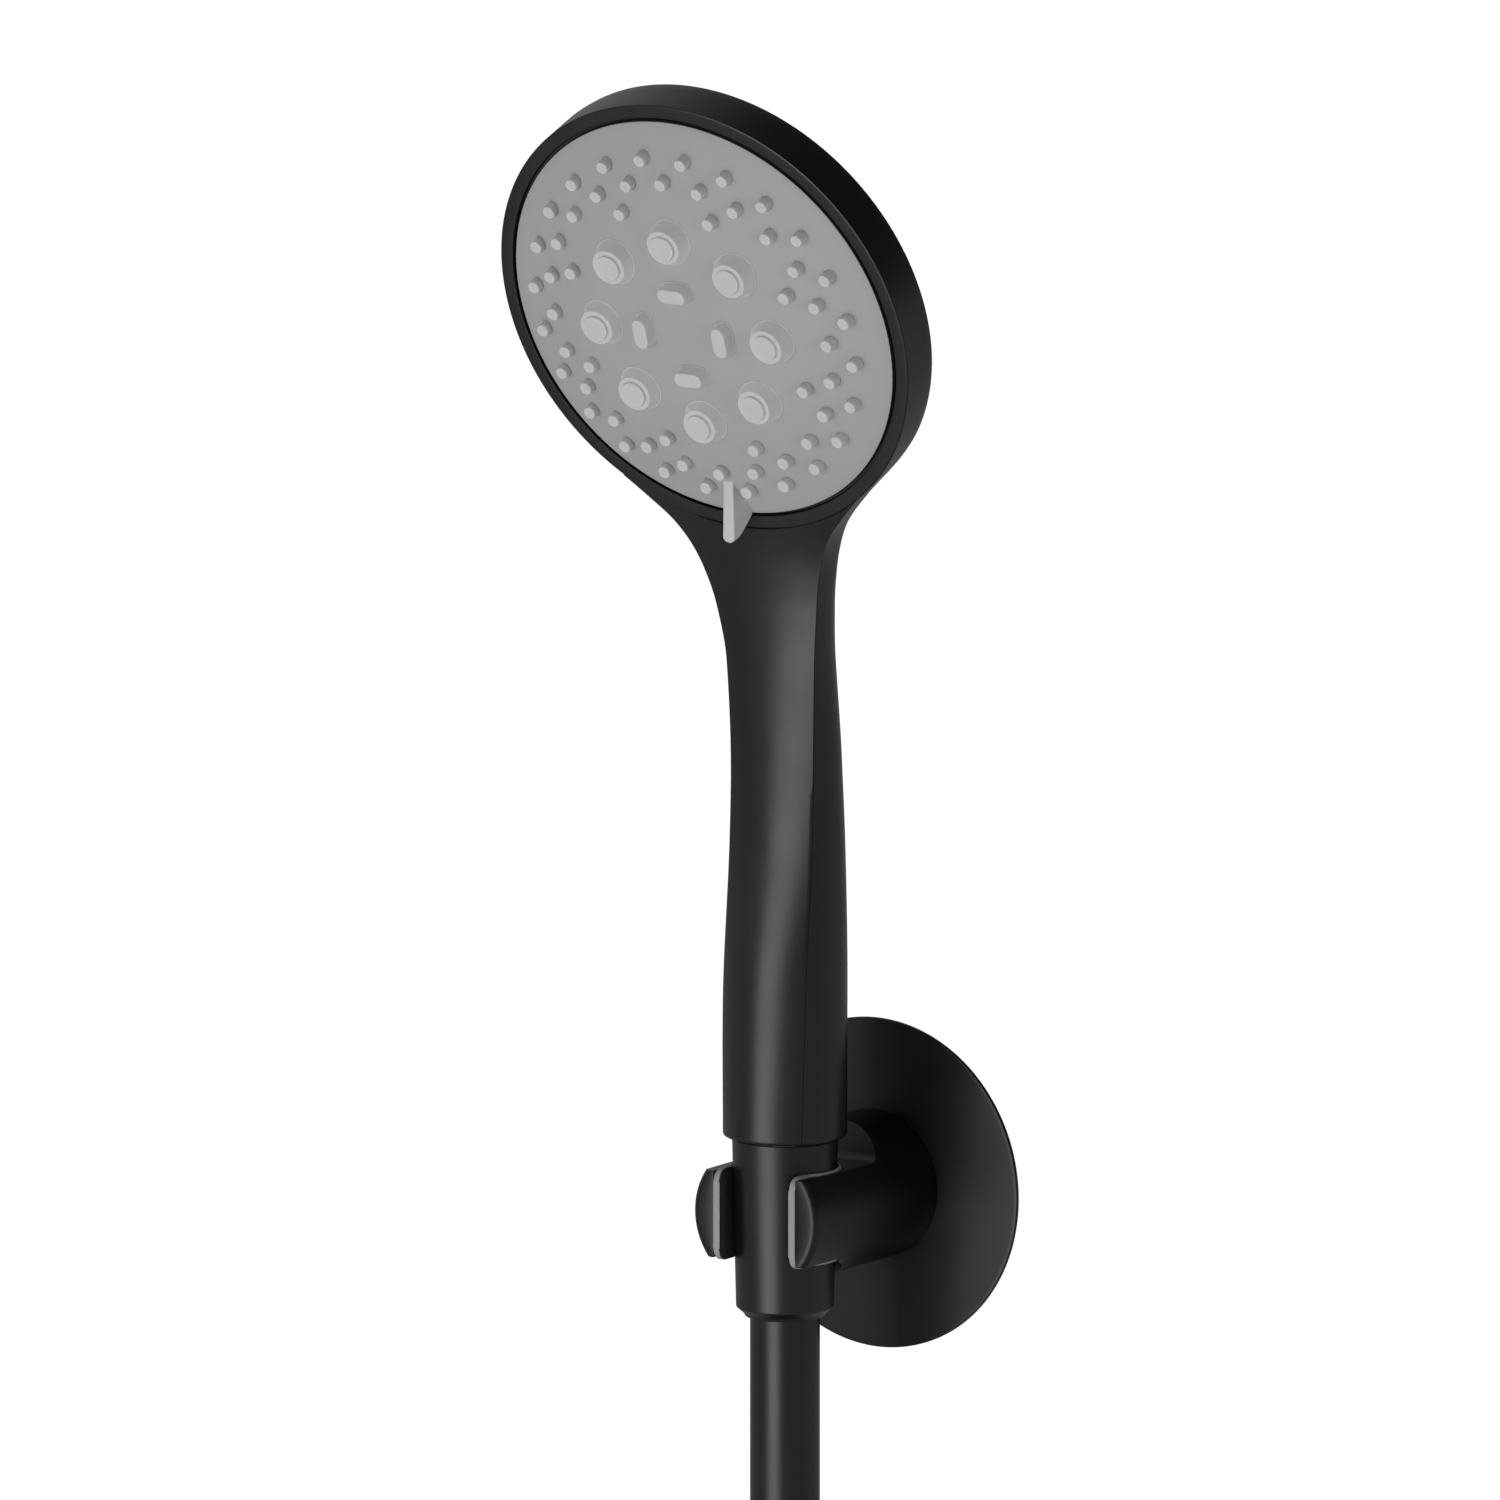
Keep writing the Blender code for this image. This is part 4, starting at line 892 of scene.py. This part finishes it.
arm = emit("holder_arm_body", turned(
    [(0, 3.0 + POST_LEN), (POST_R + 0.3, 3.0 + POST_LEN - 1.2), (POST_R + 0.3, 2.3)] +
    [(ARM_R_BACK - 0.15, 2.3), (ARM_R_BACK, 2.45)] +
    [(ARM_R_BACK - (ARM_R_BACK - ARM_R_FRONT) * k / 8, 2.45 + (ARM_FRONT - 2.45 - 3.4) * k / 8) for k in range(1, 9)] +
    fillet([(ARM_R_FRONT, ARM_FRONT - 3.4), (ARM_R_FRONT - 0.05, ARM_FRONT, 2.3), (ARM_R_FRONT - 6, ARM_FRONT)],
           closed=False, n=6)[1:] + [(0, ARM_FRONT)], 128 if FINE else 72),
    HOLDER_M, "bracket", ("holder_arm",), OUT_Y)


def keyhole(r, half_gap, front, segs=64):
    a0 = math.asin(half_gap / r)
    pts = [(half_gap, -front)]
    for i in range(segs + 1):
        a = -math.pi / 2 + a0 + (2 * math.pi - 2 * a0) * i / segs
        pts.append((r * math.cos(a), -CLIP_Y + r * math.sin(a)))
    pts.append((-half_gap, -front))
    return pts


# the clip zone is cut with rounded steps, in side view (Y, Z)
X_AXIS = Matrix(((0, 0, 1, 0), (1, 0, 0, 0), (0, 1, 0, 0), (0, 0, 0, 1)))
top_cut = fillet([(-60, 30), (-60, TOP_FLAT), (-22.6, TOP_FLAT, 4.5), (-14.6, 18.3), (-14.6, 30)], n=10)
low_cut = fillet([(-60, -LOW_FLAT), (-60, -30), (-UNDER_Y, -30), (-UNDER_Y, -LOW_FLAT, 0.5)], n=6)
cut(arm, [(skin([[(y, z, x) for y, z in o] for x in (-30, 30)]), X_AXIS) for o in (top_cut, low_cut)] +
    [(prism(keyhole(LINER_R + 0.12, JAW_GAP + LINER_T + 0.12, ARM_FRONT + 5), -20, 20), UP_Z)])
grub_hole = turned([(0, -25), (2.25, -25), (2.25, -8), (0, -8)], 32)
bmesh.ops.translate(grub_hole, vec=(0, -7.0, 0), verts=grub_hole.verts)
cut(arm, [(grub_hole, UP_Z)])
bv = arm.modifiers.new("edge", 'BEVEL')
bv.width = 0.55 * MM
bv.segments = 3
bv.limit_method = 'ANGLE'
bv.angle_limit = math.radians(38)
bv.use_clamp_overlap = True
bv.harden_normals = False
apply_modifiers(arm, 40)


def nut_r(z):
    return NUT_LOW_R + (NUT_TOP_R - NUT_LOW_R) * (z - NUT_LOW_Z) / (NUT_TOP_Z - NUT_LOW_Z)


# liner: strip swept along the keyhole, its front corners rounded
def liner_path(off):
    r = LINER_R - off
    g = JAW_GAP + LINER_T - off
    a0 = math.asin(g / r)
    pts = []
    top_y = -CLIP_Y - r * math.cos(a0)
    n_str, n_arc = 14, 72
    for i in range(n_str):
        pts.append((g, -ARM_FRONT - 0.15 + (top_y + ARM_FRONT + 0.15) * i / n_str))
    for i in range(n_arc + 1):
        a = -math.pi / 2 + a0 + (2 * math.pi - 2 * a0) * i / n_arc
        pts.append((r * math.cos(a), -CLIP_Y + r * math.sin(a)))
    for i in range(1, n_str + 1):
        pts.append((-g, top_y + (-ARM_FRONT - 0.15 - top_y) * i / n_str))
    return pts


outer, inner_lo, inner_hi = liner_path(0.0), liner_path(LINER_T), liner_path(LINER_T)
cr, z_lo, z_hi = 2.8, -11.15, 10.15
rings = []
for i in range(len(outer)):
    yo = outer[i][1]
    d = -(yo + ARM_FRONT + 0.15) * -1.0         # distance back from the front edge
    k = 0.0
    if d < cr:
        k = cr - math.sqrt(max(0.0, cr * cr - (cr - d) ** 2))
    hi, lo = z_hi - k, z_lo + k
    ring = []
    inn = inner_lo[i]
    v = Vector((inn[0] - outer[i][0], inn[1] - outer[i][1]))
    for s, z in fillet([(0, lo, 0.25), (1, lo, 0.25), (1, hi, 0.25), (0, hi, 0.25)], n=0) if False else \
            [(0.0, lo + 0.25), (0.13, lo), (0.87, lo), (1.0, lo + 0.25), (1.0, hi - 0.25), (0.87, hi), (0.13, hi), (0.0, hi - 0.25)]:
        x, y = outer[i][0] + v.x * s, outer[i][1] + v.y * s
        if s > 0.5:
            # the seat follows the cone of the nut
            rr = math.hypot(x, y + CLIP_Y)
            want = nut_r(z) + 0.3
            if 14 <= i <= 14 + 72:
                f = want / rr
                x, y = x * f, -CLIP_Y + (y + CLIP_Y) * f
        ring.append((x, y, z))
    rings.append(ring)
liner = emit("holder_grip_liner", skin(rings), LINER_M, "bracket", ("grip_liner",), angle=50)
liner.data.materials.append(RUBBER)
for poly in liner.data.polygons:                    # the grip side is a black moulded skin
    if poly.index < 8 * (len(rings) - 1) and poly.index % 8 in (2, 3, 4):
        poly.material_index = 1

grub = turned(fillet([(0, -15.2), (1.0, -15.2), (1.0, -16.2), (1.75, -16.2, 0.2), (2.0, -15.9, 0.2), (2.0, -12.1),
                      (0, -12.1)], n=3), 6)
g2 = turned(fillet([(0, -16.0), (1.7, -16.2, 0.2), (2.0, -15.9, 0.2), (2.0, -12.1, 0.1), (0, -12.1)], closed=False, n=3), 32)
grub.free()
bmesh.ops.translate(g2, vec=(0, -7.0, 0), verts=g2.verts)
grub_ob = emit("arm_grub_screw_hex", g2, STEEL, "bracket", ("arm_grub_screw",))
hexcut = turned([(0, -17.5), (1.05, -17.5), (1.05, -14.6), (0, -14.6)], 6)
bmesh.ops.translate(hexcut, vec=(0, -7.0, 0), verts=hexcut.verts)
cut(grub_ob, [(hexcut, UP_Z)])

# ------------------------------------------------------------------ inner pieces keep their CAD shape
for name, m in {
    "wall_post": STEEL, "wall_screw_upper": STEEL, "wall_screw_lower": STEEL,
    "hose_insert": BRASS, "hose_ferrule": STEEL, "hose_washer": RUBBER, "end_insert": BRASS,
    "inlet_spigot": ACETAL, "flow_limiter": RUBBER, "inlet_o_ring": RUBBER, "water_tube": ACETAL,
    "valve_body": ACETAL, "hub_o_ring": RUBBER, "port_seal": RUBBER, "port_spring": STEEL,
    "detent_spring": STEEL, "detent_ball": STEEL, "distributor_disc": ACETAL, "hub_screw": STEEL,
    "turbine_axle": STEEL, "turbine": ACETAL,
}.items():
    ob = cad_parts[name]
    ob.data.materials.clear()
    ob.data.materials.append(m)

# ------------------------------------------------------------------ stage and light
FLOOR_Z = CAD_BOX[0][2] - 0.9
fm, nt, b = nodes_of("pale_floor")
b.inputs["Base Color"].default_value = (0.9, 0.9, 0.9, 1)
b.inputs["Roughness"].default_value = 1.0
b.inputs["Specular IOR Level"].default_value = 0.0
b.inputs["Emission Color"].default_value = (1, 1, 1, 1)
b.inputs["Emission Strength"].default_value = 0.85
bm = bmesh.new()
bmesh.ops.create_grid(bm, x_segments=4, y_segments=4, size=20.0)
me = bpy.data.meshes.new("floor")
bm.to_mesh(me)
bm.free()
me.materials.append(fm)
floor = bpy.data.objects.new("floor", me)
floor.location = (0, 0, FLOOR_Z)
bpy.context.scene.collection.objects.link(floor)
floor.visible_diffuse = False
floor.visible_glossy = False


def softbox(name, azimuth, elevation, dist, w, h, power, aim=(0, -0.045, 0.1)):
    """Area light; azimuth is measured from -Y towards +X."""
    az, el = math.radians(azimuth), math.radians(elevation)
    d = Vector((math.sin(az) * math.cos(el), -math.cos(az) * math.cos(el), math.sin(el)))
    ld = bpy.data.lights.new(name, 'AREA')
    ld.shape = 'RECTANGLE'
    ld.size, ld.size_y = w, h
    ld.energy = power
    ob = bpy.data.objects.new(name, ld)
    ob.location = Vector(aim) + d * dist
    ob.rotation_euler = (-d).to_track_quat('-Z', 'Y').to_euler()
    bpy.context.scene.collection.objects.link(ob)
    return ob


box = softbox("front_softbox", -5.0, 0.0, 0.9, 0.56, 1.1, 7.2)
box.location.z -= 0.28
fill = softbox("side_fill", 72.0, 14.0, 1.2, 0.8, 0.8, 3.0)      # fill without a mirror image
fill.visible_glossy = False
fill.data.specular_factor = 0.0

world = bpy.data.worlds.new("studio")
bpy.context.scene.world = world
world.use_nodes = True
wn = world.node_tree
bg = wn.nodes["Background"]
tc = add(wn, 'ShaderNodeTexCoord')
sx = add(wn, 'ShaderNodeSeparateXYZ')
wn.links.new(tc.outputs["Generated"], sx.inputs[0])
side = add(wn, 'ShaderNodeMapRange', interpolation_type='SMOOTHSTEP')      # lit wall on the left
side.inputs["From Min"].default_value = 0.1
side.inputs["From Max"].default_value = -0.7
side.inputs["To Min"].default_value = 0.08
side.inputs["To Max"].default_value = 0.5
wn.links.new(sx.outputs["X"], side.inputs["Value"])
low = add(wn, 'ShaderNodeMapRange', interpolation_type='SMOOTHSTEP')       # dim floor below
low.inputs["From Min"].default_value = -0.05
low.inputs["From Max"].default_value = 0.12
wn.links.new(sx.outputs["Z"], low.inputs["Value"])
back = add(wn, 'ShaderNodeMapRange', interpolation_type='SMOOTHSTEP')      # a little more from the right
back.inputs["From Min"].default_value = 0.3
back.inputs["From Max"].default_value = 0.95
back.inputs["To Min"].default_value = 0.31
back.inputs["To Max"].default_value = 0.5
wn.links.new(sx.outputs["X"], back.inputs["Value"])
mixw = add(wn, 'ShaderNodeMix', data_type='FLOAT')
wn.links.new(back.outputs["Result"], mixw.inputs["A"])
wn.links.new(low.outputs["Result"], mixw.inputs["Factor"])
wn.links.new(side.outputs["Result"], mixw.inputs["B"])
path = add(wn, 'ShaderNodeLightPath')                # the backdrop itself is pale all round
seen = add(wn, 'ShaderNodeMix', data_type='FLOAT')
seen.inputs["B"].default_value = 0.88
wn.links.new(path.outputs["Is Camera Ray"], seen.inputs["Factor"])
wn.links.new(mixw.outputs["Result"], seen.inputs["A"])
wn.links.new(seen.outputs["Result"], bg.inputs["Strength"])
bg.inputs["Color"].default_value = (1, 1, 1, 1)
bpy.context.scene.view_settings.view_transform = 'Standard'
bpy.context.scene.view_settings.look = 'None'
bpy.context.scene.view_settings.exposure = 0.0
bpy.context.scene.view_settings.gamma = 1.0
